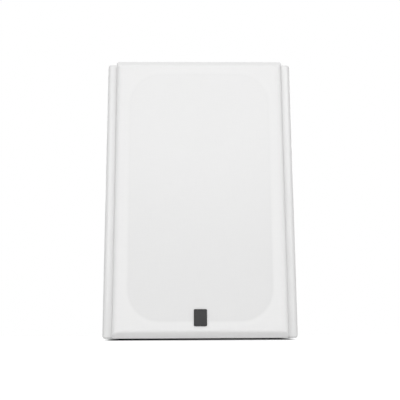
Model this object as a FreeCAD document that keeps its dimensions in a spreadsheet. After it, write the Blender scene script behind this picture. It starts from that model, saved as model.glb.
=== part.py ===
import FreeCAD, Part
import math
import os
import re
import Sketcher

# A white two-way box loudspeaker with a cloth-covered grille over its whole front.
# It stands on +Z with its front facing -Y, on the middle of its own footprint.

Vector = FreeCAD.Vector
doc = FreeCAD.newDocument("Loudspeaker")

# Driving dimensions, in millimetres
SIZES = {
    # Cabinet and front panel
    "cabinet_width": 203,
    "cabinet_height": 300,
    "cabinet_depth": 190,
    "panel_wall": 12,
    "back_wall": 14,
    "baffle_thick": 18,
    "baffle_edge_round": 4,
    "rear_edge_round": 3,
    "lacquer_round": 2.5,
    "brace_thick": 12,
    "brace_margin": 20,
    "brace_window_round": 18,
    "pad_thick": 15,
    "pad_end_gap": 6,
    "pad_front_gap": 50,
    "pad_rear_gap": 13,
    "foot_height": 1.5,
    "foot_radius": 7,
    "foot_taper": 0.5,
    "foot_inset": 22,
    "insert_clearance": 20,
    "insert_spacing": 70,
    "insert_radius": 4.5,
    "insert_bore_radius": 2.5,
    "insert_length": 10,
    # Grille
    "grille_width": 181,
    "grille_bottom_gap": 0.2,
    "grille_top_gap": 0.2,
    "grille_stand": 14.8,
    "grille_crown": 2,
    "grille_edge_round": 5,
    "grille_end_bevel": 6.6,
    "grille_end_bend": 7.5,
    "grille_corner_round": 3.5,
    "grille_seat_gap": 0.4,
    "grille_margin": 14,
    "grille_end_margin": 15.4,
    "grille_opening_round": 35,
    "grille_wall": 3,
    "grille_face_thick": 3,
    "cloth_thick": 0.6,
    "peg_radius": 3,
    "peg_length": 8,
    "peg_clearance": 0.3,
    "peg_inset": 9,
    "peg_end_inset": 24,
    "peg_boss_radius": 5,
    "socket_wall": 1.7,
    "socket_depth": 12,
    "badge_width": 13.4,
    "badge_height": 17.1,
    "badge_thick": 1,
    "badge_corner_round": 1.2,
    "badge_rise": 20.6,
    "badge_tongue_margin": 3,
    # Screws
    "screw_radius": 1.8,
    "screw_head_radius": 3.8,
    "screw_head_height": 2,
    "screw_length": 16,
    "screw_clearance": 0.4,
    "pilot_clearance": 0.1,
    "gasket_thick": 1.5,
    "driver_clearance": 0.5,
    # Woofer
    "driver_gap": 8.5,
    "woofer_flange_radius": 73,
    "woofer_flange_thick": 5,
    "woofer_ledge_inset": 8.5,
    "woofer_ledge_depth": 1.5,
    "woofer_neck_inset": 12.5,
    "woofer_neck_depth": 9,
    "woofer_wall": 3.5,
    "woofer_rear_radius": 46,
    "woofer_rear_wall": 3,
    "woofer_rear_hole": 20,
    "woofer_well_depth": 4,
    "woofer_seat_depth": 37,
    "woofer_seat_radius": 35,
    "woofer_window_width": 34,
    "woofer_window_margin": 3,
    "woofer_screw_inset": 4.5,
    "surround_thick": 0.8,
    "lip_clearance": 0.5,
    "cone_radius": 48,
    "cone_rim_width": 4,
    "cone_rim_depth": 6,
    "cone_spider_gap": 4,
    "cone_thick": 1.2,
    "dust_cap_radius": 17,
    "dust_cap_rise": 6,
    "dust_cap_thick": 0.8,
    "former_radius": 13,
    "former_wall": 0.5,
    "former_rise": 1.5,
    "coil_wall": 0.8,
    "coil_length": 11,
    "gap_clearance": 0.4,
    "spider_thick": 0.6,
    "spider_collar": 2.5,
    "spider_dish": 6,
    "spider_wave": 0.9,
    "front_plate_radius": 38,
    "front_plate_thick": 5,
    "magnet_radius": 40,
    "magnet_bore_radius": 19,
    "magnet_thick": 15,
    "back_plate_thick": 6,
    "pole_vent_radius": 4,
    "tag_strip_width": 18,
    "tag_strip_tall": 6,
    "tag_strip_thick": 1.6,
    "tag_width": 2.8,
    "tag_thick": 0.8,
    "tag_length": 13,
    "tag_spread": 5,
    # Tweeter
    "tweeter_top_gap": 11.5,
    "tweeter_plate_radius": 47,
    "tweeter_plate_thick": 4,
    "tweeter_boss_inset": 12,
    "tweeter_boss_depth": 9,
    "tweeter_mouth_inset": 4,
    "tweeter_throat_clearance": 0.4,
    "tweeter_throat_depth": 7.4,
    "tweeter_lip_width": 4.3,
    "tweeter_lip_thick": 0.5,
    "tweeter_lip_clearance": 0.3,
    "tweeter_roll_thick": 0.4,
    "tweeter_roll_width": 2.3,
    "tweeter_screw_inset": 6,
    "dome_radius": 12.9,
    "dome_rise": 6.5,
    "dome_thick": 0.5,
    "tweeter_coil_wall": 0.6,
    "tweeter_coil_length": 5.8,
    "tweeter_gap_clearance": 0.4,
    "tweeter_motor_step": 1,
    "tweeter_front_plate_thick": 4,
    "tweeter_magnet_bore_radius": 17,
    "tweeter_magnet_thick": 8,
    "tweeter_back_plate_thick": 5,
    # Terminal cup and binding posts
    "terminal_height": 64,
    "cup_flange_radius": 46,
    "cup_flange_thick": 2.5,
    "cup_gasket_thick": 1,
    "cup_wall": 2.5,
    "cup_mouth_inset": 12,
    "cup_floor_radius": 27,
    "cup_depth": 27,
    "cup_screw_inset": 5,
    "cup_screw_length": 8,
    "post_spacing": 19.05,
    "post_radius": 3,
    "post_collar_radius": 5.5,
    "post_collar_thick": 2.5,
    "post_stand": 21,
    "post_tail": 16,
    "post_hole_clearance": 0.2,
    "plug_bore_radius": 2.05,
    "plug_bore_depth": 15,
    "wire_hole_radius": 1.4,
    "cap_radius": 6.5,
    "cap_length": 16,
    "cap_gap": 0.3,
    "flute_radius": 0.9,
    "nut_radius": 5.8,
    "nut_thick": 3.5,
    # Crossover
    "board_width": 110,
    "board_tall": 76,
    "board_thick": 1.6,
    "board_screw_inset": 6,
    "spacer_height": 6,
    "spacer_radius": 3.5,
    "board_screw_radius": 1.5,
    "board_screw_head": 2.8,
    "board_screw_bite": 8,
    "bobbin_radius": 20,
    "bobbin_tall": 20,
    "bobbin_core_radius": 9.5,
    "bobbin_bore_radius": 8,
    "bobbin_flange": 1.5,
    "winding_gap": 1.5,
    "choke_radius": 11,
    "choke_bore_radius": 5,
    "choke_tall": 14,
    "large_capacitor_radius": 9,
    "large_capacitor_length": 32,
    "small_capacitor_radius": 7,
    "small_capacitor_length": 28,
    "resistor_length": 24,
    "resistor_side": 9,
    "inductor_x": -30,
    "inductor_y": 8,
    "choke_x": 34,
    "choke_y": 20,
    "large_capacitor_x": 28,
    "large_capacitor_y": -8,
    "small_capacitor_x": 28,
    "small_capacitor_y": -27,
    "resistor_x": -30,
    "resistor_y": -26,
    # Leads, and where they are soldered to the board
    "lead_radius": 1.1,
    "lead_bend": 12,
    "lead_pair_gap": 5,
    "lead_overlap": 5,
    "input_lead_stand": 17,
    "input_pad_x": -44.5,
    "input_pad_y": -18,
    "woofer_pad_x": 4.5,
    "woofer_pad_y": -32,
    "tweeter_pad_x": 2.5,
    "tweeter_pad_y": 30,
}

WOOFER_SCREWS = 6
TWEETER_SCREWS = 4
CUP_SCREWS = 4
BASKET_WINDOWS = 6
SPIDER_WAVES = 8
CAP_FLUTES = 10
NUT_SIDES = 6

sheet = doc.addObject("Spreadsheet::Sheet", "Sizes")
for row, (alias, number) in enumerate(SIZES.items(), start=1):
    sheet.set(f"A{row}", alias)
    sheet.set(f"B{row}", str(number))
    sheet.setAlias(f"B{row}", alias)
doc.recompute()

sub_parts = []


def refer(expression):
    """The expression with each size in it pointed at its cell of the sheet."""
    return re.sub(r"[a-z]\w*", lambda word: f"Sizes.{word[0]}" if word[0] in SIZES else word[0], expression)


def value(expression):
    """The number that an expression of the sheet's sizes comes to."""
    return float(sheet.evalExpression(expression))


def bind(target, **expressions):
    """Tie properties of an object to expressions of the sheet's sizes."""
    for name, expression in expressions.items():
        target.setExpression(name, refer(expression))
    return target


def move(target, x="0", y="0", z="0"):
    """Tie an object's place to expressions, keeping its rotation."""
    for axis, expression in (("x", x), ("y", y), ("z", z)):
        target.setExpression(f"Placement.Base.{axis}", refer(expression))
    return target


# Where the front of the baffle and the back of the cabinet lie along the depth
FRONT = "(grille_stand + badge_thick - cabinet_depth) / 2"
BACK = "(grille_stand + badge_thick + cabinet_depth) / 2"
INNER_BACK = f"{BACK} - back_wall"

# Ways that a piece drawn flat can face: its own z becomes the way it looks
FACINGS = {
    "up": FreeCAD.Rotation(),
    "front": FreeCAD.Rotation(Vector(1, 0, 0), 90),
    "rear": FreeCAD.Rotation(Vector(0, 0, 1), 180).multiply(FreeCAD.Rotation(Vector(1, 0, 0), 90)),
}


def seat(piece, label, facing="up", x="0", depth="0", height="0"):
    """Name a finished piece and put it in its place in the loudspeaker."""
    piece.Label = label
    piece.Placement = FreeCAD.Placement(Vector(), FACINGS[facing])
    move(piece, x, depth, height)
    sub_parts.append(piece)
    return piece


# Simple solids, with z along their axis

def cylinder(name, radius, height, x="0", y="0", z="0"):
    return move(bind(doc.addObject("Part::Cylinder", name), Radius=radius, Height=height), x, y, z)


def cone(name, lower, upper, height, x="0", y="0", z="0"):
    solid = doc.addObject("Part::Cone", name)
    return move(bind(solid, Radius1=lower, Radius2=upper, Height=height), x, y, z)


def box(name, width, depth, height, x="0", y="0", z="0"):
    """A box centred on x and y that starts at z."""
    solid = bind(doc.addObject("Part::Box", name), Length=width, Width=depth, Height=height)
    return move(solid, f"{x} - ({width}) / 2", f"{y} - ({depth}) / 2", z)


def cut(name, base, tool):
    solid = doc.addObject("Part::Cut", name)
    solid.Base = base
    solid.Tool = tool
    return solid


def joined(name, kind, shapes):
    """One object of several: Part::MultiFuse, Part::MultiCommon or a Part::Compound of loose solids."""
    solid = doc.addObject(kind, name)
    if kind == "Part::Compound":
        solid.Links = shapes
    else:
        solid.Shapes = shapes
    return solid


def ring(name, outer, inner, height, z="0", x="0", y="0"):
    return cut(name, cylinder(name + "_disc", outer, height, x, y, z),
               cylinder(name + "_bore", inner, height, x, y, z))


# Sketches whose every point is tied to the sheet

def sketch_on(body, name, plane="XY_Plane", lift="0"):
    sketch = body.newObject("Sketcher::SketchObject", name)
    support = next(feature for feature in body.Origin.OriginFeatures if feature.Role == plane)
    sketch.AttachmentSupport = [(support, "")]
    sketch.MapMode = "FlatFace"
    sketch.setExpression("AttachmentOffset.Base.z", refer(lift))
    return sketch


def hold(sketch, kind, geometry, point, expression):
    """Fix one measure of a point from the sketch's origin."""
    constraint = Sketcher.Constraint(kind, -1, 1, geometry, point, value(expression))
    sketch.setExpression(f"Constraints[{sketch.addConstraint(constraint)}]", refer(expression))


def circle(sketch, x, y, radius):
    centre = Vector(value(x), value(y), 0)
    number = sketch.addGeometry(Part.Circle(centre, Vector(0, 0, 1), value(radius)), False)
    hold(sketch, "DistanceX", number, 3, x)
    hold(sketch, "DistanceY", number, 3, y)
    size = sketch.addConstraint(Sketcher.Constraint("Radius", number, value(radius)))
    sketch.setExpression(f"Constraints[{size}]", refer(radius))


def arc_between(start, end, axis, centre):
    """The circle through two points whose centre is given along one axis."""
    if axis == "x":
        other = (start.x - centre) ** 2 - (end.x - centre) ** 2 + start.y ** 2 - end.y ** 2
        middle = Vector(centre, other / (2 * (start.y - end.y)), 0)
    else:
        other = (start.y - centre) ** 2 - (end.y - centre) ** 2 + start.x ** 2 - end.x ** 2
        middle = Vector(other / (2 * (start.x - end.x)), centre, 0)
    return Part.Circle(middle, Vector(0, 0, 1), (start - middle).Length)


def outline(sketch, corners, arcs=None):
    """A closed outline through the corners. arcs gives, for the edge after a corner, the axis and place
    of its centre and whether it runs counter-clockwise; the other edges are straight."""
    arcs = arcs or {}
    points = [Vector(value(x), value(y), 0) for x, y in corners]
    first = sketch.GeometryCount
    starts = []
    ends = []
    for number, start in enumerate(points):
        end = points[(number + 1) % len(points)]
        forward = True
        if number in arcs:
            axis, centre, forward = arcs[number]
            ring_line = arc_between(start, end, axis, value(centre))
            angles = [ring_line.parameter(start), ring_line.parameter(end)]
            if not forward:
                angles.reverse()
            edge = Part.ArcOfCircle(ring_line, *angles)
        else:
            edge = Part.LineSegment(start, end)
        sketch.addGeometry(edge, False)
        starts.append(1 if forward else 2)
        ends.append(2 if forward else 1)
    for number, (x, y) in enumerate(corners):
        following = (number + 1) % len(points)
        sketch.addConstraint(Sketcher.Constraint("Coincident", first + number, ends[number],
                                                 first + following, starts[following]))
        hold(sketch, "DistanceX", first + number, starts[number], x)
        hold(sketch, "DistanceY", first + number, starts[number], y)
    for number, (axis, centre, forward) in arcs.items():
        hold(sketch, "DistanceX" if axis == "x" else "DistanceY", first + number, 3, centre)


def rounded_box(left, right, bottom, top, radius):
    """Corners and arcs of a rectangle with equal rounded corners."""
    corners = [(f"{left} + {radius}", bottom), (f"{right} - ({radius})", bottom),
               (right, f"{bottom} + {radius}"), (right, f"{top} - ({radius})"),
               (f"{right} - ({radius})", top), (f"{left} + {radius}", top),
               (left, f"{top} - ({radius})"), (left, f"{bottom} + {radius}")]
    arcs = {1: ("x", f"{right} - ({radius})", True), 3: ("x", f"{right} - ({radius})", True),
            5: ("x", f"{left} + {radius}", True), 7: ("x", f"{left} + {radius}", True)}
    return corners, arcs


# Features of a body

def new_body(name):
    return doc.addObject("PartDesign::Body", name)


def pad(body, sketch, length, way="forward"):
    feature = body.newObject("PartDesign::Pad", sketch.Name + "_pad")
    feature.Profile = sketch
    feature.Reversed = way == "backward"
    feature.SideType = "Symmetric" if way == "both" else "One side"
    bind(feature, Length=length)
    doc.recompute()
    return feature


def pocket(body, sketch, depth, way="forward"):
    """Cut a sketch into the body, against its normal unless way says backward. It has to take some away."""
    before = body.Shape.Volume
    feature = body.newObject("PartDesign::Pocket", sketch.Name + "_pocket")
    feature.Profile = sketch
    feature.Reversed = way == "backward"
    feature.SideType = "Symmetric" if way == "both" else "One side"
    bind(feature, Length=depth)
    doc.recompute()
    if not body.Shape.Volume < before:
        raise ValueError(f"{feature.Name} cuts nothing")
    return feature


def fillet(body, radius, chosen):
    """Round the edges of the body's last feature that chosen picks."""
    base = body.Tip
    names = [f"Edge{number}" for number, edge in enumerate(base.Shape.Edges, start=1) if chosen(edge)]
    feature = body.newObject("PartDesign::Fillet", body.Name + "_fillet")
    feature.Base = (base, names)
    bind(feature, Radius=radius)
    doc.recompute()
    return feature


def polar(body, feature, count):
    """Repeat a feature evenly round the body's own z axis."""
    pattern = body.newObject("PartDesign::PolarPattern", feature.Name + "_pattern")
    pattern.Originals = [feature]
    axis = next(line for line in body.Origin.OriginFeatures if line.Role == "Z_Axis")
    pattern.Axis = (axis, [""])
    pattern.Angle = 360
    pattern.Occurrences = count
    body.Tip = pattern
    doc.recompute()
    return pattern


def turned(name, corners, arcs=None):
    """A body turned about its own z axis from a profile of radius and height."""
    body = new_body(name)
    sketch = sketch_on(body, name + "_profile", "XZ_Plane")
    outline(sketch, corners, arcs)
    feature = body.newObject("PartDesign::Revolution", name + "_turn")
    feature.Profile = sketch
    feature.ReferenceAxis = (sketch, ["V_Axis"])
    feature.Angle = 360
    doc.recompute()
    return body


def circle_places(count, radius, x="0", y="0"):
    """Places of a ring of fixings, the first half a step from the horizontal."""
    step = 360 / count
    angles = [step * (number + 0.5) for number in range(count)]
    return [(f"{x} + {radius} * cos({angle})", f"{y} + {radius} * sin({angle})") for angle in angles]


def drill(body, name, places, radius, depth, lift="0", way="forward"):
    """Round holes at several places, made by one pocket."""
    sketch = sketch_on(body, name, lift=lift)
    for x, y in places:
        circle(sketch, x, y, radius)
    return pocket(body, sketch, depth, way)


def screws(label, places, length, facing, depth, height, head="screw_head_radius", shank="screw_radius"):
    """Like screws as loose solids: each head rests on z = 0 and its shank runs down from it."""
    items = []
    for number, (x, y) in enumerate(places):
        name = f"{label}_{number}"
        parts = [cylinder(name + "_head", head, "screw_head_height", x, y),
                 cylinder(name + "_shank", shank, length, x, y, f"-({length})")]
        items.append(joined(name, "Part::MultiFuse", parts))
    return seat(joined(label + "_set", "Part::Compound", items), label, facing, "0", depth, height)


# Places shared by the pieces that fit each other
TWEETER_AXIS = "(cabinet_height - tweeter_top_gap - tweeter_plate_radius)"
WOOFER_AXIS = f"({TWEETER_AXIS} - tweeter_plate_radius - driver_gap - woofer_flange_radius)"
BRACE_MIDDLE = f"({TWEETER_AXIS} - tweeter_plate_radius - driver_gap / 2)"
BOARD_HEIGHT = f"(({BRACE_MIDDLE} + brace_thick / 2 + cabinet_height - panel_wall) / 2)"
GRILLE_HEIGHT = "(cabinet_height - grille_bottom_gap - grille_top_gap)"
GRILLE_MIDDLE = f"(grille_bottom_gap + {GRILLE_HEIGHT} / 2)"
PEG_X = "(grille_width / 2 - peg_inset)"
PEG_Y = f"({GRILLE_HEIGHT} / 2 - peg_end_inset)"
PEG_PLACES = [(f"{side} * {PEG_X}", f"{row} * {PEG_Y}") for side in (-1, 1) for row in (-1, 0, 1)]
BOARD_SCREW_X = "(board_width / 2 - board_screw_inset)"
BOARD_SCREW_Y = "(board_tall / 2 - board_screw_inset)"
BOARD_PLACES = [(f"{side} * {BOARD_SCREW_X}", f"{row} * {BOARD_SCREW_Y}")
                for side in (-1, 1) for row in (-1, 1)]
INSERT_PLACES = [("0", f"terminal_height + cup_flange_radius + insert_clearance + {row} * insert_spacing")
                 for row in (0, 1)]
CUP_REBATE = "cup_flange_thick + cup_gasket_thick + screw_head_height"
WOOFER_LEDGE = "(woofer_flange_radius - woofer_ledge_inset)"
WOOFER_NECK = "(woofer_flange_radius - woofer_neck_inset)"
WOOFER_CIRCLE = "(woofer_flange_radius - woofer_screw_inset)"
TWEETER_BOSS = "(tweeter_plate_radius - tweeter_boss_inset)"
TWEETER_CIRCLE = "(tweeter_plate_radius - tweeter_screw_inset)"
CUP_MOUTH = "(cup_flange_radius - cup_mouth_inset)"
CUP_CIRCLE = "(cup_flange_radius - cup_screw_inset)"
WOOFER_DEPTH = "(woofer_seat_depth + woofer_well_depth + woofer_rear_wall)"
SPIDER_DEPTH = "(woofer_seat_depth - spider_dish)"
CONE_NECK = f"({SPIDER_DEPTH} - cone_spider_gap)"
PILOT = "screw_radius + pilot_clearance"
PASSING = "screw_radius + screw_clearance"


def above(places, height):
    """The same places raised by a height."""
    return [(x, f"{y} + {height}") for x, y in places]


# Cabinet: a glued and lacquered box with its back, open at the front
cabinet = new_body("cabinet")
plan = sketch_on(cabinet, "cabinet_plan", "XZ_Plane")
CABINET_DEEP = "(cabinet_depth - baffle_thick)"
outline(plan,
        [("-cabinet_width / 2", "0"), ("-cabinet_width / 2", f"rear_edge_round - {CABINET_DEEP}"),
         ("rear_edge_round - cabinet_width / 2", f"-{CABINET_DEEP}"),
         ("cabinet_width / 2 - rear_edge_round", f"-{CABINET_DEEP}"),
         ("cabinet_width / 2", f"rear_edge_round - {CABINET_DEEP}"), ("cabinet_width / 2", "0")],
        {1: ("x", "rear_edge_round - cabinet_width / 2", True),
         3: ("x", "cabinet_width / 2 - rear_edge_round", True)})
pad(cabinet, plan, "cabinet_height", "backward")


def is_rim(edge, top, open_z):
    """Whether an edge lies round the top or bottom of a piece, apart from its open side."""
    bounds = edge.BoundBox
    level = bounds.YLength < 1e-6 and min(abs(bounds.YMin), abs(bounds.YMin - top)) < 1e-6
    along_open_side = abs(bounds.ZMin - open_z) < 1e-6 and bounds.ZLength < 1e-6
    return level and not along_open_side


fillet(cabinet, "lacquer_round", lambda edge: is_rim(edge, value("cabinet_height"), 0))
room = sketch_on(cabinet, "cabinet_room")
outline(room, *rounded_box("panel_wall - cabinet_width / 2", "cabinet_width / 2 - panel_wall",
                           "panel_wall", "cabinet_height - panel_wall", "rear_edge_round"))
pocket(cabinet, room, f"{CABINET_DEEP} - back_wall")
CUP_PLACE = [("0", "terminal_height")]
drill(cabinet, "cup_cut", CUP_PLACE, f"{CUP_MOUTH} + cup_wall + driver_clearance", CABINET_DEEP)
drill(cabinet, "cup_rebate", CUP_PLACE, "cup_flange_radius + driver_clearance", CUP_REBATE,
      f"-{CABINET_DEEP}", "backward")
drill(cabinet, "cup_pilots", above(circle_places(CUP_SCREWS, CUP_CIRCLE), "terminal_height"), PILOT,
      f"{CUP_REBATE} + cup_screw_length - cup_flange_thick - cup_gasket_thick + pilot_clearance",
      f"-{CABINET_DEEP}", "backward")
drill(cabinet, "insert_holes", INSERT_PLACES, "insert_radius", "insert_length", f"-{CABINET_DEEP}", "backward")
drill(cabinet, "board_pilots", above(BOARD_PLACES, BOARD_HEIGHT), "board_screw_radius + pilot_clearance",
      f"{CABINET_DEEP} - back_wall + board_screw_bite + pilot_clearance")
seat(cabinet, "cabinet", "front", "0", f"{FRONT} + baffle_thick", "foot_height")

# Front baffle: its rounded upright edges show beside the grille
baffle = new_body("front_baffle")
plan = sketch_on(baffle, "baffle_plan", "XZ_Plane")
outline(plan,
        [("-cabinet_width / 2", "-baffle_thick"), ("cabinet_width / 2", "-baffle_thick"),
         ("cabinet_width / 2", "-baffle_edge_round"), ("cabinet_width / 2 - baffle_edge_round", "0"),
         ("baffle_edge_round - cabinet_width / 2", "0"), ("-cabinet_width / 2", "-baffle_edge_round")],
        {2: ("x", "cabinet_width / 2 - baffle_edge_round", True),
         4: ("x", "baffle_edge_round - cabinet_width / 2", True)})
pad(baffle, plan, "cabinet_height", "backward")
fillet(baffle, "lacquer_round", lambda edge: is_rim(edge, value("cabinet_height"), -value("baffle_thick")))
WOOFER_REBATE = "woofer_flange_thick + gasket_thick"
TWEETER_REBATE = "tweeter_plate_thick + gasket_thick"
drill(baffle, "woofer_rebate", [("0", WOOFER_AXIS)], "woofer_flange_radius + driver_clearance", WOOFER_REBATE)
drill(baffle, "woofer_cut", [("0", WOOFER_AXIS)], f"{WOOFER_NECK} + driver_clearance", "baffle_thick")
drill(baffle, "tweeter_rebate", [("0", TWEETER_AXIS)], "tweeter_plate_radius + driver_clearance",
      TWEETER_REBATE)
drill(baffle, "tweeter_cut", [("0", TWEETER_AXIS)], f"{TWEETER_BOSS} + driver_clearance", "baffle_thick")
drill(baffle, "woofer_pilots", above(circle_places(WOOFER_SCREWS, WOOFER_CIRCLE), WOOFER_AXIS), PILOT,
      "screw_length + pilot_clearance")
drill(baffle, "tweeter_pilots", above(circle_places(TWEETER_SCREWS, TWEETER_CIRCLE), TWEETER_AXIS),
      PILOT, "screw_length + pilot_clearance")
drill(baffle, "socket_holes", above(PEG_PLACES, GRILLE_MIDDLE), "peg_radius + peg_clearance + socket_wall",
      "socket_depth")
seat(baffle, "front_baffle", "front", "0", FRONT, "foot_height")

# Window brace between the two drive units, glued across the cabinet
brace = new_body("window_brace")
plan = sketch_on(brace, "brace_plan")
BRACE_HALF = "(cabinet_width / 2 - panel_wall)"
BRACE_DEEP = "(cabinet_depth - baffle_thick - back_wall)"
outline(plan, [(f"-{BRACE_HALF}", "0"), (BRACE_HALF, "0"), (BRACE_HALF, BRACE_DEEP),
               (f"-{BRACE_HALF}", BRACE_DEEP)])
outline(plan, *rounded_box(f"brace_margin - {BRACE_HALF}", f"{BRACE_HALF} - brace_margin", "brace_margin",
                           f"{BRACE_DEEP} - brace_margin", "brace_window_round"))
pad(brace, plan, "brace_thick")
seat(brace, "window_brace", "up", "0", f"{FRONT} + baffle_thick",
     f"foot_height + {BRACE_MIDDLE} - brace_thick / 2")

# Damping pads glued to the inside of the side walls, below the brace
PAD_LENGTH = f"({BRACE_DEEP} - pad_front_gap - pad_rear_gap)"
PAD_TALL = f"({BRACE_MIDDLE} - brace_thick / 2 - panel_wall - 2 * pad_end_gap)"
PAD_X = "(cabinet_width / 2 - panel_wall - pad_thick / 2)"
pads = [box(f"damping_pad_{side}", "pad_thick", PAD_LENGTH, PAD_TALL, f"{side} * {PAD_X}", f"{PAD_LENGTH} / 2")
        for side in (-1, 1)]
seat(joined("damping_pad_pair", "Part::Compound", pads), "damping_pads", "up", "0",
     f"{FRONT} + baffle_thick + pad_front_gap", "foot_height + panel_wall + pad_end_gap")

# Four rubber feet under the cabinet
FOOT_X = "(cabinet_width / 2 - foot_inset)"
FOOT_Y = "(cabinet_depth / 2 - foot_inset)"
feet = [cone(f"foot_{side}_{end}", "foot_radius - foot_taper", "foot_radius", "foot_height",
             f"{side} * {FOOT_X}", f"{end} * {FOOT_Y}") for side in (-1, 1) for end in (-1, 1)]
seat(joined("foot_set", "Part::Compound", feet), "rubber_feet", "up", "0", f"{FRONT} + cabinet_depth / 2")

# Two brass inserts in the back, for the screws of a wall or ceiling bracket
inserts = [ring(f"insert_{number}", "insert_radius", "insert_bore_radius", "insert_length", "-insert_length",
                x, y) for number, (x, y) in enumerate(INSERT_PLACES)]
seat(joined("insert_pair", "Part::Compound", inserts), "bracket_inserts", "rear", "0", BACK, "foot_height")


# Grille: a moulded frame with pegs, cloth stretched over it, and a badge. Its face is crowned across its width,
# its sides are rounded and its two ends are bevelled

def grille_block(name, inset):
    """The grille's crowned outer form, shrunk by an inset on every side but the back."""
    half_width = f"(grille_width / 2 - {inset})"
    half_height = f"({GRILLE_HEIGHT} / 2 - {inset})"
    round_off = f"(grille_edge_round - {inset})"
    bevel = f"(grille_end_bevel - (2 - sqrt(2)) * {inset})"
    bend = f"(grille_end_bend - {inset})"
    bend_fall = f"(1 - 1 / sqrt(2)) * {bend}"
    bend_start = f"({half_height} - {bevel} - (sqrt(2) - 1) * {bend})"
    crest = f"(grille_stand - {inset})"
    shoulder = f"({crest} - grille_crown)"
    chord = f"({half_width} - {round_off})"
    across = new_body(name + "_across")
    plan = sketch_on(across, name + "_plan", "XZ_Plane")
    outline(plan,
            [(f"-{half_width}", "grille_seat_gap"), (half_width, "grille_seat_gap"),
             (half_width, f"{shoulder} - {round_off}"), (chord, shoulder), (f"-{chord}", shoulder),
             (f"-{half_width}", f"{shoulder} - {round_off}")],
            {2: ("x", chord, True),
             3: ("y", f"{crest} - grille_crown / 2 - {chord} ^ 2 / (2 * grille_crown)", True),
             4: ("x", f"-{chord}", True)})
    pad(across, plan, f"2 * {GRILLE_HEIGHT}", "both")
    upright = new_body(name + "_upright")
    side = sketch_on(upright, name + "_side", "YZ_Plane")
    outline(side,
            [(f"-{half_height}", "grille_seat_gap"), (half_height, "grille_seat_gap"),
             (half_height, f"{crest} - {bevel}"),
             (f"{half_height} - {bevel} + {bend_fall}", f"{crest} - {bend_fall}"),
             (bend_start, crest), (f"-{bend_start}", crest),
             (f"{bevel} - {bend_fall} - {half_height}", f"{crest} - {bend_fall}"),
             (f"-{half_height}", f"{crest} - {bevel}")],
            {3: ("x", bend_start, True), 5: ("x", f"-{bend_start}", True)})
    pad(upright, side, "2 * grille_width", "both")
    face = new_body(name + "_face")
    front = sketch_on(face, name + "_front")
    outline(front, *rounded_box(f"-{half_width}", half_width, f"-{half_height}", half_height,
                                f"(grille_corner_round - {inset})"))
    pad(face, front, "2 * grille_stand")
    return joined(name, "Part::MultiCommon", [across, upright, face])


def opening_block(name, margin, end_margin, radius, start, length):
    """A rounded rectangle, set in by a margin from the grille's sides and by another from its ends."""
    body = new_body(name)
    sketch = sketch_on(body, name + "_outline", lift=start)
    outline(sketch, *rounded_box(f"{margin} - grille_width / 2", f"grille_width / 2 - {margin}",
                                 f"{end_margin} - {GRILLE_HEIGHT} / 2", f"{GRILLE_HEIGHT} / 2 - {end_margin}",
                                 radius))
    pad(body, sketch, length)
    return body


FRAME_FACE_BACK = "(grille_stand - cloth_thick - grille_crown - grille_face_thick)"
FRAME_WALL = "(cloth_thick + grille_wall)"
frame_walls = cut("frame_walls", grille_block("frame_form", "cloth_thick"),
                  opening_block("frame_hollow", FRAME_WALL, FRAME_WALL, "grille_corner_round", "0",
                                FRAME_FACE_BACK))
frame_ring = cut("frame_ring", frame_walls,
                 opening_block("frame_opening", "grille_margin", "grille_end_margin", "grille_opening_round",
                               "0", "2 * grille_stand"))
frame_items = [frame_ring]
for number, (x, y) in enumerate(PEG_PLACES):
    frame_items.append(cylinder(f"peg_boss_{number}", "peg_boss_radius",
                                f"{FRAME_FACE_BACK} + grille_face_thick / 2 - grille_seat_gap", x, y,
                                "grille_seat_gap"))
    frame_items.append(cylinder(f"peg_{number}", "peg_radius", "peg_length + grille_stand / 2", x, y,
                                "-peg_length"))
TONGUE_TALL = "(badge_rise + badge_height / 2 + badge_tongue_margin - grille_end_bevel)"
frame_items.append(box("badge_tongue", "badge_width + 2 * badge_tongue_margin", TONGUE_TALL,
                       "grille_face_thick", "0",
                       f"-{GRILLE_HEIGHT} / 2 + grille_end_bevel + {TONGUE_TALL} / 2",
                       FRAME_FACE_BACK))
frame_solid = joined("grille_frame_solid", "Part::MultiFuse", frame_items)
seat(frame_solid, "grille_frame", "front", "0", FRONT, f"foot_height + {GRILLE_MIDDLE}")

cloth = cut("grille_cloth_solid", grille_block("cloth_outside", "0"),
            grille_block("cloth_inside", "cloth_thick"))
seat(cloth, "grille_cloth", "front", "0", FRONT, f"foot_height + {GRILLE_MIDDLE}")

badge = new_body("badge")
plate = sketch_on(badge, "badge_plate")
outline(plate, *rounded_box("-badge_width / 2", "badge_width / 2", "-badge_height / 2", "badge_height / 2",
                            "badge_corner_round"))
pad(badge, plate, "badge_thick")
seat(badge, "badge", "front", "0", f"{FRONT} - grille_stand", "foot_height + grille_bottom_gap + badge_rise")

sockets = [ring(f"socket_{number}", "peg_radius + peg_clearance + socket_wall", "peg_radius + peg_clearance",
                "socket_depth", "-socket_depth", x, y) for number, (x, y) in enumerate(PEG_PLACES)]
seat(joined("socket_set", "Part::Compound", sockets), "grille_sockets", "front", "0", FRONT,
     f"foot_height + {GRILLE_MIDDLE}")


# Woofer: its pieces share one axis, with z = 0 on the front of the baffle

def seat_woofer(piece, label, z="0"):
    return seat(piece, label, "front", "0", f"{FRONT} - ({z})", f"foot_height + {WOOFER_AXIS}")


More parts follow.
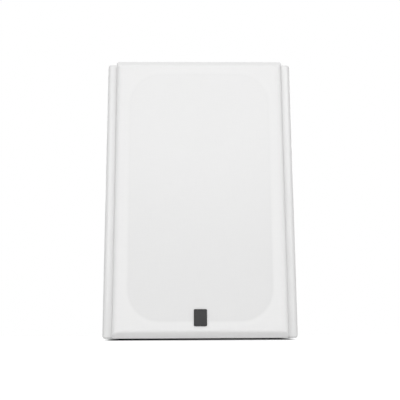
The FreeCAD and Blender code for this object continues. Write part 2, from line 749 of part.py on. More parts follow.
INSIDE_NECK = f"({WOOFER_NECK} - woofer_wall)"
INSIDE_REAR = "(woofer_rear_radius - woofer_wall)"
basket = turned("woofer_basket", [
    ("woofer_flange_radius", "0"), (WOOFER_LEDGE, "0"), (WOOFER_LEDGE, "-woofer_ledge_depth"),
    (INSIDE_NECK, "-woofer_ledge_depth"), (INSIDE_NECK, "-woofer_neck_depth"),
    (INSIDE_REAR, "-woofer_seat_depth"),
    ("woofer_seat_radius", "-woofer_seat_depth"), ("woofer_seat_radius", f"woofer_rear_wall - {WOOFER_DEPTH}"),
    ("woofer_rear_hole", f"woofer_rear_wall - {WOOFER_DEPTH}"), ("woofer_rear_hole", f"-{WOOFER_DEPTH}"),
    ("woofer_rear_radius", f"-{WOOFER_DEPTH}"), ("woofer_rear_radius", "-woofer_seat_depth"),
    (WOOFER_NECK, "-woofer_neck_depth"), (WOOFER_NECK, "-woofer_flange_thick"),
    ("woofer_flange_radius", "-woofer_flange_thick")])
window = sketch_on(basket, "basket_window", "YZ_Plane")
WINDOW_TOP = "-woofer_neck_depth - woofer_window_margin"
WINDOW_BOTTOM = "woofer_window_margin - woofer_seat_depth"
outline(window, [("woofer_seat_radius", WINDOW_BOTTOM), ("woofer_flange_radius", WINDOW_BOTTOM),
                 ("woofer_flange_radius", WINDOW_TOP), ("woofer_seat_radius", WINDOW_TOP)])
polar(basket, pocket(basket, window, "woofer_window_width", "both"), BASKET_WINDOWS)
drill(basket, "basket_holes", circle_places(WOOFER_SCREWS, WOOFER_CIRCLE), PASSING,
      "woofer_flange_thick")
seat_woofer(basket, "woofer_basket")

ROLL_FOOT = "surround_thick - woofer_ledge_depth"
LEG = "(cone_radius + surround_thick)"
surround = turned("woofer_surround", [
    (f"{WOOFER_LEDGE} - lip_clearance", "-woofer_ledge_depth"),
    (f"{WOOFER_LEDGE} - lip_clearance", ROLL_FOOT), (INSIDE_NECK, ROLL_FOOT), ("cone_radius", ROLL_FOOT),
    ("cone_radius", "surround_thick - cone_rim_depth"),
    ("cone_radius - cone_rim_width", "surround_thick - cone_rim_depth"),
    ("cone_radius - cone_rim_width", "-cone_rim_depth"), (LEG, "-cone_rim_depth"), (LEG, ROLL_FOOT),
    (f"{INSIDE_NECK} - surround_thick", ROLL_FOOT), (f"{INSIDE_NECK} - surround_thick", "-woofer_ledge_depth")],
    {2: ("y", ROLL_FOOT, True), 8: ("y", ROLL_FOOT, False)})
seat_woofer(surround, "woofer_surround")

CONE_SLOPE = f"(({CONE_NECK} - cone_rim_depth) / (cone_radius - cone_rim_width - former_radius))"
woofer_cone = turned("woofer_cone", [
    ("cone_radius", "-cone_rim_depth"), ("cone_radius - cone_rim_width", "-cone_rim_depth"),
    ("former_radius", f"-{CONE_NECK}"), ("former_radius", f"-{CONE_NECK} - cone_thick"),
    ("cone_radius - cone_rim_width", "-cone_rim_depth - cone_thick"),
    ("cone_radius", "-cone_rim_depth - cone_thick")])
seat_woofer(woofer_cone, "woofer_cone")

CAP_FOOT = f"(-{CONE_NECK} + (dust_cap_radius - former_radius) * {CONE_SLOPE})"
dust_cap = turned("woofer_dust_cap", [
    ("dust_cap_radius", CAP_FOOT), ("0", f"{CAP_FOOT} + dust_cap_rise"),
    ("0", f"{CAP_FOOT} + dust_cap_rise - dust_cap_thick"), ("dust_cap_radius - dust_cap_thick", CAP_FOOT)],
    {0: ("x", "0", True), 2: ("x", "0", False)})
seat_woofer(dust_cap, "woofer_dust_cap")

COIL_END = f"-{WOOFER_DEPTH} - front_plate_thick / 2 - coil_length / 2"
FORMER_TOP = f"former_rise - {CONE_NECK}"
former = ring("coil_former_tube", "former_radius", "former_radius - former_wall",
              f"{FORMER_TOP} - ({COIL_END})", COIL_END)
seat_woofer(former, "woofer_coil_former")
coil = ring("coil_wire", "former_radius + coil_wall", "former_radius", "coil_length", COIL_END)
seat_woofer(coil, "woofer_voice_coil")

# The spider is a pleated disc that centres the coil, deeper at its rim than at its collar
SPIDER_COLLAR = "(former_radius + spider_collar)"
PLEAT_END = "(woofer_seat_radius + lip_clearance)"
PLEAT_DROP = "(spider_dish - spider_thick)"
pleats = [(f"{SPIDER_COLLAR} + {number / SPIDER_WAVES} * ({PLEAT_END} - {SPIDER_COLLAR})",
           f"-{SPIDER_DEPTH} - {number / SPIDER_WAVES} * {PLEAT_DROP} + {(-1) ** number} * spider_wave")
          for number in range(1, SPIDER_WAVES)]
upper = ([("former_radius", f"-{SPIDER_DEPTH}"), (SPIDER_COLLAR, f"-{SPIDER_DEPTH}")] + pleats
         + [(PLEAT_END, "spider_thick - woofer_seat_depth"),
            (f"{INSIDE_REAR} - lip_clearance", "spider_thick - woofer_seat_depth")])
lower = [(radius, f"{height} - spider_thick") for radius, height in reversed(upper)]
spider = turned("woofer_spider", upper + lower)
seat_woofer(spider, "woofer_spider")

MAGNET_FRONT = f"({WOOFER_DEPTH} + front_plate_thick)"
MAGNET_BACK = f"({MAGNET_FRONT} + magnet_thick)"
POLE_RADIUS = "(former_radius - former_wall - gap_clearance)"
front_plate = ring("woofer_plate", "front_plate_radius", "former_radius + coil_wall + gap_clearance",
                   "front_plate_thick", f"-{MAGNET_FRONT}")
seat_woofer(front_plate, "woofer_front_plate")
magnet = ring("woofer_ferrite", "magnet_radius", "magnet_bore_radius", "magnet_thick", f"-{MAGNET_BACK}")
seat_woofer(magnet, "woofer_magnet")
back_plate = turned("woofer_back_plate", [
    ("pole_vent_radius", f"-{WOOFER_DEPTH}"), ("pole_vent_radius", f"-{MAGNET_BACK} - back_plate_thick"),
    ("front_plate_radius", f"-{MAGNET_BACK} - back_plate_thick"), ("front_plate_radius", f"-{MAGNET_BACK}"),
    (POLE_RADIUS, f"-{MAGNET_BACK}"), (POLE_RADIUS, f"-{WOOFER_DEPTH}")])
seat_woofer(back_plate, "woofer_back_plate")

woofer_gasket = turned("woofer_gasket", [
    (f"{WOOFER_NECK} + driver_clearance", "0"), ("woofer_flange_radius", "0"),
    ("woofer_flange_radius", "gasket_thick"), (f"{WOOFER_NECK} + driver_clearance", "gasket_thick")])
drill(woofer_gasket, "woofer_gasket_holes", circle_places(WOOFER_SCREWS, WOOFER_CIRCLE), PASSING,
      "gasket_thick", way="backward")
seat_woofer(woofer_gasket, "woofer_gasket", f"-({WOOFER_REBATE})")
screws("woofer_screws", circle_places(WOOFER_SCREWS, WOOFER_CIRCLE), "screw_length", "front", FRONT,
       f"foot_height + {WOOFER_AXIS}")


def tag_pair(name, strip_y, strip_back, tag_reach):
    """A strip board on z = strip_back with two solder tags on it that reach upwards past its edge."""
    strip = [box(name + "_board", "tag_strip_width", "tag_strip_tall", "tag_strip_thick", "0", strip_y,
                 f"{strip_back} - tag_strip_thick")]
    tags = [box(f"{name}_tag_{side}", "tag_width", "tag_length", "tag_thick", f"{side} * tag_spread",
                f"{strip_y} + {tag_reach}", f"{strip_back} - tag_strip_thick - tag_thick") for side in (-1, 1)]
    return joined(name, "Part::Compound", strip), joined(name + "_tags", "Part::Compound", tags)


TAG_REACH = "tag_length / 2 - tag_strip_tall / 4"
WOOFER_STRIP_Y = "(front_plate_radius + driver_clearance + tag_strip_tall / 2)"
strip, tags = tag_pair("woofer_strip", WOOFER_STRIP_Y, f"-{WOOFER_DEPTH}", TAG_REACH)
seat_woofer(strip, "woofer_tag_strip")
seat_woofer(tags, "woofer_tags")


# Tweeter: its pieces share one axis, with z = 0 on the front of the baffle

def seat_tweeter(piece, label, z="0"):
    return seat(piece, label, "front", "0", f"{FRONT} - ({z})", f"foot_height + {TWEETER_AXIS}")


TWEETER_MOUTH = f"({TWEETER_BOSS} - tweeter_mouth_inset)"
TWEETER_ROLL = "(dome_radius + tweeter_roll_width)"
TWEETER_THROAT = f"({TWEETER_ROLL} + tweeter_throat_clearance)"
TWEETER_LIP = f"({TWEETER_ROLL} + tweeter_lip_width)"
LIP_ROOM = "(tweeter_lip_thick + tweeter_lip_clearance - tweeter_boss_depth)"
faceplate = turned("tweeter_faceplate", [
    (TWEETER_MOUTH, "0"), (TWEETER_THROAT, "-tweeter_throat_depth"),
    (TWEETER_THROAT, LIP_ROOM), (f"{TWEETER_LIP} + lip_clearance", LIP_ROOM),
    (f"{TWEETER_LIP} + lip_clearance", "-tweeter_boss_depth"),
    (TWEETER_BOSS, "-tweeter_boss_depth"),
    (TWEETER_BOSS, "-tweeter_plate_thick"), ("tweeter_plate_radius", "-tweeter_plate_thick"),
    ("tweeter_plate_radius", "0")],
    {0: ("x", TWEETER_MOUTH, True)})
drill(faceplate, "faceplate_holes", circle_places(TWEETER_SCREWS, TWEETER_CIRCLE), PASSING,
      "tweeter_plate_thick")
seat_tweeter(faceplate, "tweeter_faceplate")

LIP_FRONT = "(tweeter_lip_thick - tweeter_boss_depth)"
ROLL_INSIDE = f"({TWEETER_ROLL} - tweeter_roll_thick)"
ROLL_START = "(dome_radius + tweeter_roll_thick)"
tweeter_surround = turned("tweeter_surround", [
    (TWEETER_LIP, "-tweeter_boss_depth"), (TWEETER_LIP, LIP_FRONT),
    (TWEETER_ROLL, LIP_FRONT), ("dome_radius", LIP_FRONT), ("dome_radius", "-tweeter_boss_depth"),
    (ROLL_START, "-tweeter_boss_depth"), (ROLL_START, LIP_FRONT), (ROLL_INSIDE, LIP_FRONT),
    (ROLL_INSIDE, "-tweeter_boss_depth")],
    {2: ("y", LIP_FRONT, True), 6: ("y", LIP_FRONT, False)})
seat_tweeter(tweeter_surround, "tweeter_surround")

dome = turned("tweeter_dome", [
    ("dome_radius", LIP_ROOM), ("0", f"{LIP_ROOM} + dome_rise"), ("0", f"{LIP_ROOM} + dome_rise - dome_thick"),
    ("dome_radius - dome_thick", LIP_ROOM)],
    {0: ("x", "0", True), 2: ("x", "0", False)})
seat_tweeter(dome, "tweeter_dome")
tweeter_coil = ring("tweeter_coil_tube", "dome_radius", "dome_radius - tweeter_coil_wall",
                    "tweeter_coil_length", f"{LIP_ROOM} - tweeter_coil_length")
seat_tweeter(tweeter_coil, "tweeter_voice_coil")

TWEETER_MAGNET_FRONT = "(tweeter_boss_depth + tweeter_front_plate_thick)"
TWEETER_MAGNET_BACK = f"({TWEETER_MAGNET_FRONT} + tweeter_magnet_thick)"
TWEETER_POLE = "(dome_radius - tweeter_coil_wall - tweeter_gap_clearance)"
tweeter_plate = ring("tweeter_plate", f"{TWEETER_BOSS} - tweeter_motor_step",
                     "dome_radius + tweeter_gap_clearance", "tweeter_front_plate_thick",
                     f"-{TWEETER_MAGNET_FRONT}")
seat_tweeter(tweeter_plate, "tweeter_front_plate")
tweeter_magnet = ring("tweeter_ferrite", f"{TWEETER_BOSS} - 2 * tweeter_motor_step",
                      "tweeter_magnet_bore_radius", "tweeter_magnet_thick", f"-{TWEETER_MAGNET_BACK}")
seat_tweeter(tweeter_magnet, "tweeter_magnet")
TWEETER_REAR = f"({TWEETER_MAGNET_BACK} + tweeter_back_plate_thick)"
TWEETER_BACK = f"({TWEETER_BOSS} - 3 * tweeter_motor_step)"
tweeter_back = turned("tweeter_back_plate", [
    ("0", "-tweeter_boss_depth"), ("0", f"-{TWEETER_REAR}"), (TWEETER_BACK, f"-{TWEETER_REAR}"),
    (TWEETER_BACK, f"-{TWEETER_MAGNET_BACK}"), (TWEETER_POLE, f"-{TWEETER_MAGNET_BACK}"),
    (TWEETER_POLE, "-tweeter_boss_depth")])
seat_tweeter(tweeter_back, "tweeter_back_plate")
tweeter_gasket = turned("tweeter_gasket", [
    (f"{TWEETER_BOSS} + driver_clearance", "0"), ("tweeter_plate_radius", "0"),
    ("tweeter_plate_radius", "gasket_thick"), (f"{TWEETER_BOSS} + driver_clearance", "gasket_thick")])
drill(tweeter_gasket, "tweeter_gasket_holes", circle_places(TWEETER_SCREWS, TWEETER_CIRCLE), PASSING,
      "gasket_thick", way="backward")
seat_tweeter(tweeter_gasket, "tweeter_gasket", f"-({TWEETER_REBATE})")
screws("tweeter_screws", circle_places(TWEETER_SCREWS, TWEETER_CIRCLE), "screw_length", "front", FRONT,
       f"foot_height + {TWEETER_AXIS}")
strip, tags = tag_pair("tweeter_strip", "0", f"-{TWEETER_REAR}", TAG_REACH)
seat_tweeter(strip, "tweeter_tag_strip")
seat_tweeter(tags, "tweeter_tags")


# Terminal cup in the back: z = 0 on the outer face of its flange, which lies below the cabinet's back

def seat_terminal(piece, label, x="0", z="0"):
    return seat(piece, label, "rear", x, f"{BACK} - screw_head_height + {z}", "foot_height + terminal_height")


cup = turned("terminal_cup", [
    ("0", "-cup_depth"), ("cup_floor_radius", "-cup_depth"), (CUP_MOUTH, "0"),
    ("cup_flange_radius", "0"),
    ("cup_flange_radius", "-cup_flange_thick"), (f"{CUP_MOUTH} + cup_wall", "-cup_flange_thick"),
    ("cup_floor_radius + cup_wall", "-cup_depth - cup_wall"), ("0", "-cup_depth - cup_wall")])
POST_X = "post_spacing / 2"
drill(cup, "post_holes", [(f"-{POST_X}", "0"), (POST_X, "0")], "post_radius + post_hole_clearance",
      "cup_depth + cup_wall")
drill(cup, "cup_holes", circle_places(CUP_SCREWS, CUP_CIRCLE), PASSING, "cup_flange_thick")
seat_terminal(cup, "terminal_cup")
cup_gasket = turned("terminal_gasket", [
    (f"{CUP_MOUTH} + cup_wall + driver_clearance", "0"), ("cup_flange_radius", "0"),
    ("cup_flange_radius", "cup_gasket_thick"),
    (f"{CUP_MOUTH} + cup_wall + driver_clearance", "cup_gasket_thick")])
drill(cup_gasket, "cup_gasket_holes", circle_places(CUP_SCREWS, CUP_CIRCLE), PASSING,
      "cup_gasket_thick", way="backward")
seat_terminal(cup_gasket, "terminal_gasket", z="-cup_flange_thick - cup_gasket_thick")
screws("terminal_screws", circle_places(CUP_SCREWS, CUP_CIRCLE), "cup_screw_length", "rear",
       f"{BACK} - screw_head_height", "foot_height + terminal_height")

# Binding posts: a turned stud with a plug bore and a wire hole, a turning cap and a nut inside
POST_END = "(post_stand - cup_depth)"
COLLAR_TOP = "(post_collar_thick - cup_depth)"
PLUG_FLOOR = f"({POST_END} - plug_bore_depth)"


def binding_post(name):
    body = turned(name, [
        ("0", "-cup_depth - post_tail"), ("post_radius", "-cup_depth - post_tail"),
        ("post_radius", "-cup_depth"),
        ("post_collar_radius", "-cup_depth"), ("post_collar_radius", COLLAR_TOP), ("post_radius", COLLAR_TOP),
        ("post_radius", POST_END), ("plug_bore_radius", POST_END), ("plug_bore_radius", PLUG_FLOOR),
        ("0", PLUG_FLOOR)])
    hole = sketch_on(body, name + "_wire_hole", "YZ_Plane")
    circle(hole, "0", f"({COLLAR_TOP} + {PLUG_FLOOR}) / 2", "wire_hole_radius")
    pocket(body, hole, "4 * post_radius", "both")
    return body


def post_cap(name):
    body = turned(name, [
        ("post_radius + cap_gap", f"{COLLAR_TOP} + cap_gap"), ("cap_radius", f"{COLLAR_TOP} + cap_gap"),
        ("cap_radius", f"{COLLAR_TOP} + cap_gap + cap_length"),
        ("post_radius + cap_gap", f"{COLLAR_TOP} + cap_gap + cap_length")])
    flute = drill(body, name + "_flute", [("cap_radius", "0")], "flute_radius", "cap_length",
                  f"{COLLAR_TOP} + 2 * cap_gap + cap_length")
    polar(body, flute, CAP_FLUTES)
    return body


for side, sign in (("positive", 1), ("negative", -1)):
    seat_terminal(binding_post(f"{side}_post"), f"{side}_post", f"{sign} * {POST_X}")
    seat_terminal(post_cap(f"{side}_cap"), f"{side}_cap", f"{sign} * {POST_X}")
nuts = []
for number, sign in enumerate((-1, 1)):
    hexagon = doc.addObject("Part::Prism", f"nut_{number}_hexagon")
    hexagon.Polygon = NUT_SIDES
    bind(hexagon, Circumradius="nut_radius", Height="nut_thick")
    move(hexagon, f"{sign} * {POST_X}", "0", "-cup_depth - cup_wall - nut_thick")
    bore = cylinder(f"nut_{number}_bore", "post_radius", "nut_thick", f"{sign} * {POST_X}", "0",
                    "-cup_depth - cup_wall - nut_thick")
    nuts.append(cut(f"nut_{number}", hexagon, bore))
seat_terminal(joined("nut_pair", "Part::Compound", nuts), "post_nuts")


# Crossover on the inside of the back: z = 0 on the back wall, growing towards the front

def seat_crossover(piece, label):
    return seat(piece, label, "front", "0", INNER_BACK, f"foot_height + {BOARD_HEIGHT}")


BOARD_FACE = "(spacer_height + board_thick)"
board = new_body("crossover_board")
sheet_outline = sketch_on(board, "board_outline", lift="spacer_height")
outline(sheet_outline, [("-board_width / 2", "-board_tall / 2"), ("board_width / 2", "-board_tall / 2"),
                        ("board_width / 2", "board_tall / 2"), ("-board_width / 2", "board_tall / 2")])
pad(board, sheet_outline, "board_thick")
drill(board, "board_holes", BOARD_PLACES, "board_screw_radius + pilot_clearance", "board_thick", BOARD_FACE)
seat_crossover(board, "crossover_board")
spacers = [ring(f"spacer_{number}", "spacer_radius", "board_screw_radius + pilot_clearance", "spacer_height",
                "0", x, y) for number, (x, y) in enumerate(BOARD_PLACES)]
seat_crossover(joined("spacer_set", "Part::Compound", spacers), "crossover_spacers")
screws("crossover_screws", BOARD_PLACES, f"{BOARD_FACE} + board_screw_bite", "front",
       f"{INNER_BACK} - {BOARD_FACE}", f"foot_height + {BOARD_HEIGHT}", "board_screw_head",
       "board_screw_radius")


def seat_on_board(piece, label, x, y):
    return seat(piece, label, "front", x, f"{INNER_BACK} - {BOARD_FACE}", f"foot_height + {BOARD_HEIGHT} + {y}")


bobbin = turned("inductor_bobbin", [
    ("bobbin_bore_radius", "0"), ("bobbin_radius", "0"), ("bobbin_radius", "bobbin_flange"),
    ("bobbin_core_radius", "bobbin_flange"), ("bobbin_core_radius", "bobbin_tall - bobbin_flange"),
    ("bobbin_radius", "bobbin_tall - bobbin_flange"), ("bobbin_radius", "bobbin_tall"),
    ("bobbin_bore_radius", "bobbin_tall")])
seat_on_board(bobbin, "inductor_bobbin", "inductor_x", "inductor_y")
winding = ring("inductor_wire", "bobbin_radius - winding_gap", "bobbin_core_radius",
               "bobbin_tall - 2 * bobbin_flange", "bobbin_flange")
seat_on_board(winding, "inductor_winding", "inductor_x", "inductor_y")
seat_on_board(ring("choke_wire", "choke_radius", "choke_bore_radius", "choke_tall"), "tweeter_choke",
              "choke_x", "choke_y")


def lying_capacitor(label):
    """A round capacitor lying along the board."""
    can = cylinder(label + "_can", label + "_radius", label + "_length")
    can.Placement = FreeCAD.Placement(Vector(), FreeCAD.Rotation(Vector(0, 1, 0), 90))
    move(can, f"-{label}_length / 2", "0", label + "_radius")
    seat_on_board(joined(label + "_laid", "Part::Compound", [can]), label, label + "_x", label + "_y")


lying_capacitor("large_capacitor")
lying_capacitor("small_capacitor")
block = box("resistor_block", "resistor_length", "resistor_side", "resistor_side")
seat_on_board(joined("resistor_laid", "Part::Compound", [block]), "resistor", "resistor_x", "resistor_y")


# Leads: each pair runs in straight stretches joined by tangent bends

def spot(x, depth, height):
    """A point of a lead's route."""
    return Vector(value(x), value(depth), value(height))


def lead(points):
    """A round lead through points, bent at each inner one."""
    edges = []
    start = points[0]
    for before, corner, after in zip(points, points[1:], points[2:]):
        back = (before - corner).normalize()
        onward = (after - corner).normalize()
        half_turn = back.getAngle(onward) / 2
        reach = value("lead_bend")
        bow = (back + onward).normalize() * reach * (1 - math.sin(half_turn)) / math.cos(half_turn)
        edges.append(Part.LineSegment(start, corner + back * reach).toShape())
        edges.append(Part.Arc(corner + back * reach, corner + bow, corner + onward * reach).toShape())
        start = corner + onward * reach
    edges.append(Part.LineSegment(start, points[-1]).toShape())
    section = Part.Wire(Part.makeCircle(value("lead_radius"), points[0], points[1] - points[0]))
    return Part.Wire(edges).makePipeShell([section], True, True)


def lead_pair(label, routes):
    """Two leads as one node: each route starts at its terminal and ends on the crossover board."""
    piece = doc.addObject("Part::Feature", label)
    piece.Shape = Part.makeCompound([lead(route) for route in routes])
    seat(piece, label)


BOARD_DEPTH = f"{INNER_BACK} - {BOARD_FACE}"
POST_TIP = f"{BACK} - screw_head_height - cup_depth - post_tail"
TURN_DEPTH = f"{POST_TIP} - input_lead_stand"
input_routes = []
for sign in (-1, 1):
    post_x = f"{sign} * {POST_X}"
    pad_x = f"input_pad_x + {sign} * lead_pair_gap / 2"
    pad_height = f"foot_height + {BOARD_HEIGHT} + input_pad_y"
    input_routes.append([spot(post_x, POST_TIP, "foot_height + terminal_height"),
                         spot(post_x, TURN_DEPTH, "foot_height + terminal_height"),
                         spot(pad_x, TURN_DEPTH, pad_height), spot(pad_x, BOARD_DEPTH, pad_height)])
lead_pair("input_leads", input_routes)


def tag_routes(driver, axis, tag_middle, rear):
    """From a drive unit's two tags straight up, then back to the board."""
    tag_depth = f"{FRONT} + {rear} + tag_strip_thick + tag_thick + lead_radius"
    tag_top = f"foot_height + {axis} + {tag_middle} + {TAG_REACH} + tag_length / 2"
    pad_height = f"foot_height + {BOARD_HEIGHT} + {driver}_pad_y"
    routes = []
    for sign in (-1, 1):
        tag_x = f"{sign} * tag_spread"
        pad_x = f"{driver}_pad_x + {sign} * lead_pair_gap / 2"
        routes.append([spot(tag_x, tag_depth, f"{tag_top} - lead_overlap"), spot(tag_x, tag_depth, pad_height),
                       spot(pad_x, BOARD_DEPTH, pad_height)])
    return routes


lead_pair("woofer_leads", tag_routes("woofer", WOOFER_AXIS, WOOFER_STRIP_Y, WOOFER_DEPTH))
lead_pair("tweeter_leads", tag_routes("tweeter", TWEETER_AXIS, "0", TWEETER_REAR))

doc.recompute()
for piece in doc.Objects:
    if "Invalid" in piece.State or "Error" in piece.State:
        raise ValueError(f"{piece.Name} failed: {piece.State}")
for piece in sub_parts:
    if piece.Shape.isNull() or not piece.Shape.isValid():
        raise ValueError(f"{piece.Label} has no valid shape")

os.makedirs("parts", exist_ok=True)
for piece in sub_parts:
    piece.Shape.exportStep(f"parts/{piece.Label}.step")
    box_now = piece.Shape.BoundBox
    print(f"{piece.Label}: {len(piece.Shape.Solids)} solids, {piece.Shape.Volume / 1000:.2f} cm3, "
          f"x {box_now.XMin:.1f} {box_now.XMax:.1f}  y {box_now.YMin:.1f} {box_now.YMax:.1f}  "
          f"z {box_now.ZMin:.1f} {box_now.ZMax:.1f}")
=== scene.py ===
import math

import bmesh
import bpy
import numpy as np
from mathutils import Matrix, Vector, noise


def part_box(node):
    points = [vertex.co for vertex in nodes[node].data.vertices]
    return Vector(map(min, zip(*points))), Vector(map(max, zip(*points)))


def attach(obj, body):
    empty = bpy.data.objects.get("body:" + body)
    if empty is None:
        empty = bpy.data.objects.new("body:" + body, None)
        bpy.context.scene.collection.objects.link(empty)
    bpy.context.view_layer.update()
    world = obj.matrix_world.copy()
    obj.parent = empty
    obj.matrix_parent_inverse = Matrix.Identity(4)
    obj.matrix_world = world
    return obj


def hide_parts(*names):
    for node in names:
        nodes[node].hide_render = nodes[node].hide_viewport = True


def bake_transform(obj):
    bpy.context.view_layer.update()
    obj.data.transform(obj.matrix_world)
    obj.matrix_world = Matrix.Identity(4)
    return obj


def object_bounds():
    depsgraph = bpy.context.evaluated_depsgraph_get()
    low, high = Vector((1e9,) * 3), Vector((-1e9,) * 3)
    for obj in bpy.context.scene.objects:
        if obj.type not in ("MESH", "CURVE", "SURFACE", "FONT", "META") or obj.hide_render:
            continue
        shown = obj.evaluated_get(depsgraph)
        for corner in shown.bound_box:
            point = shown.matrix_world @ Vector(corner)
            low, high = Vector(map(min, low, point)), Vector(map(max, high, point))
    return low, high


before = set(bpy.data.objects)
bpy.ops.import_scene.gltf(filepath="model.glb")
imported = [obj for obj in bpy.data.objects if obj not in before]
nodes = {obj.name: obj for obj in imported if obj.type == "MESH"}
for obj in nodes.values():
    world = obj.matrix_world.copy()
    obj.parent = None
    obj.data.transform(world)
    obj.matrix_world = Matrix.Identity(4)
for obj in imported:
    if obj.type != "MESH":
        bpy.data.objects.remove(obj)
cad_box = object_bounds()

# Studio: a floor of white paper that runs out of sight, an even white surround and six soft boxes.
# The camera stands almost on the floor, a little left of the middle, and looks up at the front.
scene = bpy.context.scene
scene.view_settings.view_transform = "Standard"
WHITE = (1.0, 1.0, 1.0, 1.0)
SURROUND_LIGHT = (0.345, 0.345, 0.345, 1.0)


def add_node(tree, kind, inputs=None, **settings):
    """A node with its settings; each input takes a plain value or another node's output."""
    made = tree.nodes.new(kind)
    for name, setting in settings.items():
        setattr(made, name, setting)
    for name, given in (inputs or {}).items():
        if isinstance(given, bpy.types.NodeSocket):
            tree.links.new(given, made.inputs[name])
        else:
            made.inputs[name].default_value = given
    return made


def math_node(tree, operation, *values):
    """One sum on numbers or other nodes' outputs."""
    return add_node(tree, "ShaderNodeMath", dict(enumerate(values)), operation=operation).outputs[0]


def eased(tree, source, start, end, first=0.0, last=1.0):
    """A value that goes smoothly from first to last while its source goes from start to end."""
    limits = {"Value": source, "From Min": start, "From Max": end, "To Min": first, "To Max": last}
    return add_node(tree, "ShaderNodeMapRange", limits, interpolation_type="SMOOTHSTEP").outputs[0]


def seen_rays(tree):
    """1 for rays that the camera sees, also by way of gloss or glass, and 0 for light that spreads."""
    path = add_node(tree, "ShaderNodeLightPath")
    mirrored = math_node(tree, "MAXIMUM", path.outputs["Is Camera Ray"], path.outputs["Is Glossy Ray"])
    return math_node(tree, "MAXIMUM", mirrored, path.outputs["Is Transmission Ray"])


world = bpy.data.worlds.new("surround")
scene.world = world
world.use_nodes = True
tree = world.node_tree
tree.nodes.clear()
tint = add_node(tree, "ShaderNodeMixRGB",
                {"Fac": seen_rays(tree), "Color1": SURROUND_LIGHT, "Color2": WHITE})
sky = add_node(tree, "ShaderNodeBackground", {"Color": tint.outputs[0], "Strength": 1.0})
add_node(tree, "ShaderNodeOutputWorld", {"Surface": sky.outputs[0]})

# The paper glows for the view alone, so that it stays white without more light on the speaker.
# The glow stops round the base, and a grey painted beneath the base is a painted contact shadow.
# Shadow limits are distances past the model's box; the shadow grows wider from the front to the middle.
FLOOR_RADIUS, FLOOR_SIDES = 0.9, 96
FLOOR_FADE = (0.4, 0.8)
FLOOR_WHITE = (0.86, 0.86, 0.86, 1.0)
FLOOR_GLOW = 0.65
SHADOW_REACH = 0.13
SHADOW_SIDES = (-0.012, -0.001)
SHADOW_FRONT = (-0.006, 0.004)
SHADOW_SPREAD = 0.0125
CONTACT_SHADE = (0.28, 0.28, 0.28, 1.0)
floor_turns = [2 * math.pi * side / FLOOR_SIDES for side in range(FLOOR_SIDES)]
floor_rim = [(FLOOR_RADIUS * math.cos(turn), FLOOR_RADIUS * math.sin(turn), 0) for turn in floor_turns]
floor_mesh = bpy.data.meshes.new("floor")
floor_mesh.from_pydata(floor_rim, [], [tuple(range(FLOOR_SIDES))])
floor = bpy.data.objects.new("floor", floor_mesh)
scene.collection.objects.link(floor)


def new_material(name):
    """A material, its node tree and its shader."""
    material = bpy.data.materials.new(name)
    material.use_nodes = True
    return material, material.node_tree, material.node_tree.nodes["Principled BSDF"]


floor_paper, tree, surface = new_material("floor_paper")
surface.inputs["Roughness"].default_value = 1.0
surface.inputs["Specular IOR Level"].default_value = 0.0
surface.inputs["Emission Strength"].default_value = 1.0
spot = add_node(tree, "ShaderNodeTexCoord").outputs["Object"]
reach = add_node(tree, "ShaderNodeVectorMath", {0: spot}, operation="LENGTH").outputs["Value"]
tree.links.new(eased(tree, reach, *FLOOR_FADE, 1.0, 0.0), surface.inputs["Alpha"])
box_half = (cad_box[1][0], cad_box[1][1], 0.0)
mirrored_spot = add_node(tree, "ShaderNodeVectorMath", {0: spot}, operation="ABSOLUTE").outputs[0]
outside = add_node(tree, "ShaderNodeVectorMath", {0: mirrored_spot, 1: box_half}, operation="SUBTRACT")
past = add_node(tree, "ShaderNodeSeparateXYZ", {"Vector": outside.outputs[0]})
past_front = past.outputs["Y"]
spot_y = add_node(tree, "ShaderNodeSeparateXYZ", {"Vector": spot}).outputs["Y"]
flare = add_node(tree, "ShaderNodeMapRange", {"Value": spot_y, "From Min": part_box("front_baffle")[0].y,
                                              "From Max": 0.0, "To Max": SHADOW_SPREAD})
past_side = math_node(tree, "SUBTRACT", past.outputs["X"], flare.outputs[0])
shown = seen_rays(tree)
beneath = math_node(tree, "MULTIPLY", eased(tree, past_side, *SHADOW_SIDES, 1.0, 0.0),
                    eased(tree, past_front, *SHADOW_FRONT, 1.0, 0.0))
# Painted shadow: under and just beside the base the paper's colour is the CONTACT_SHADE grey, for seen rays
# only.
paper_tone_and_painted_shadow = add_node(tree, "ShaderNodeMixRGB", {"Fac": math_node(tree, "MULTIPLY", beneath, shown),
                                                 "Color1": FLOOR_WHITE, "Color2": CONTACT_SHADE})
tree.links.new(paper_tone_and_painted_shadow.outputs[0], surface.inputs["Base Color"])
lift = math_node(tree, "MAXIMUM", eased(tree, past_front, 0.0, SHADOW_REACH, 0.0, FLOOR_GLOW),
                 eased(tree, past_side, *SHADOW_SIDES, 0.0, FLOOR_GLOW))
glow = math_node(tree, "MULTIPLY", lift, shown)
paper_glow = add_node(tree, "ShaderNodeCombineColor", {"Red": glow, "Green": glow, "Blue": glow})
tree.links.new(paper_glow.outputs[0], surface.inputs["Emission Color"])
floor_mesh.materials.append(floor_paper)

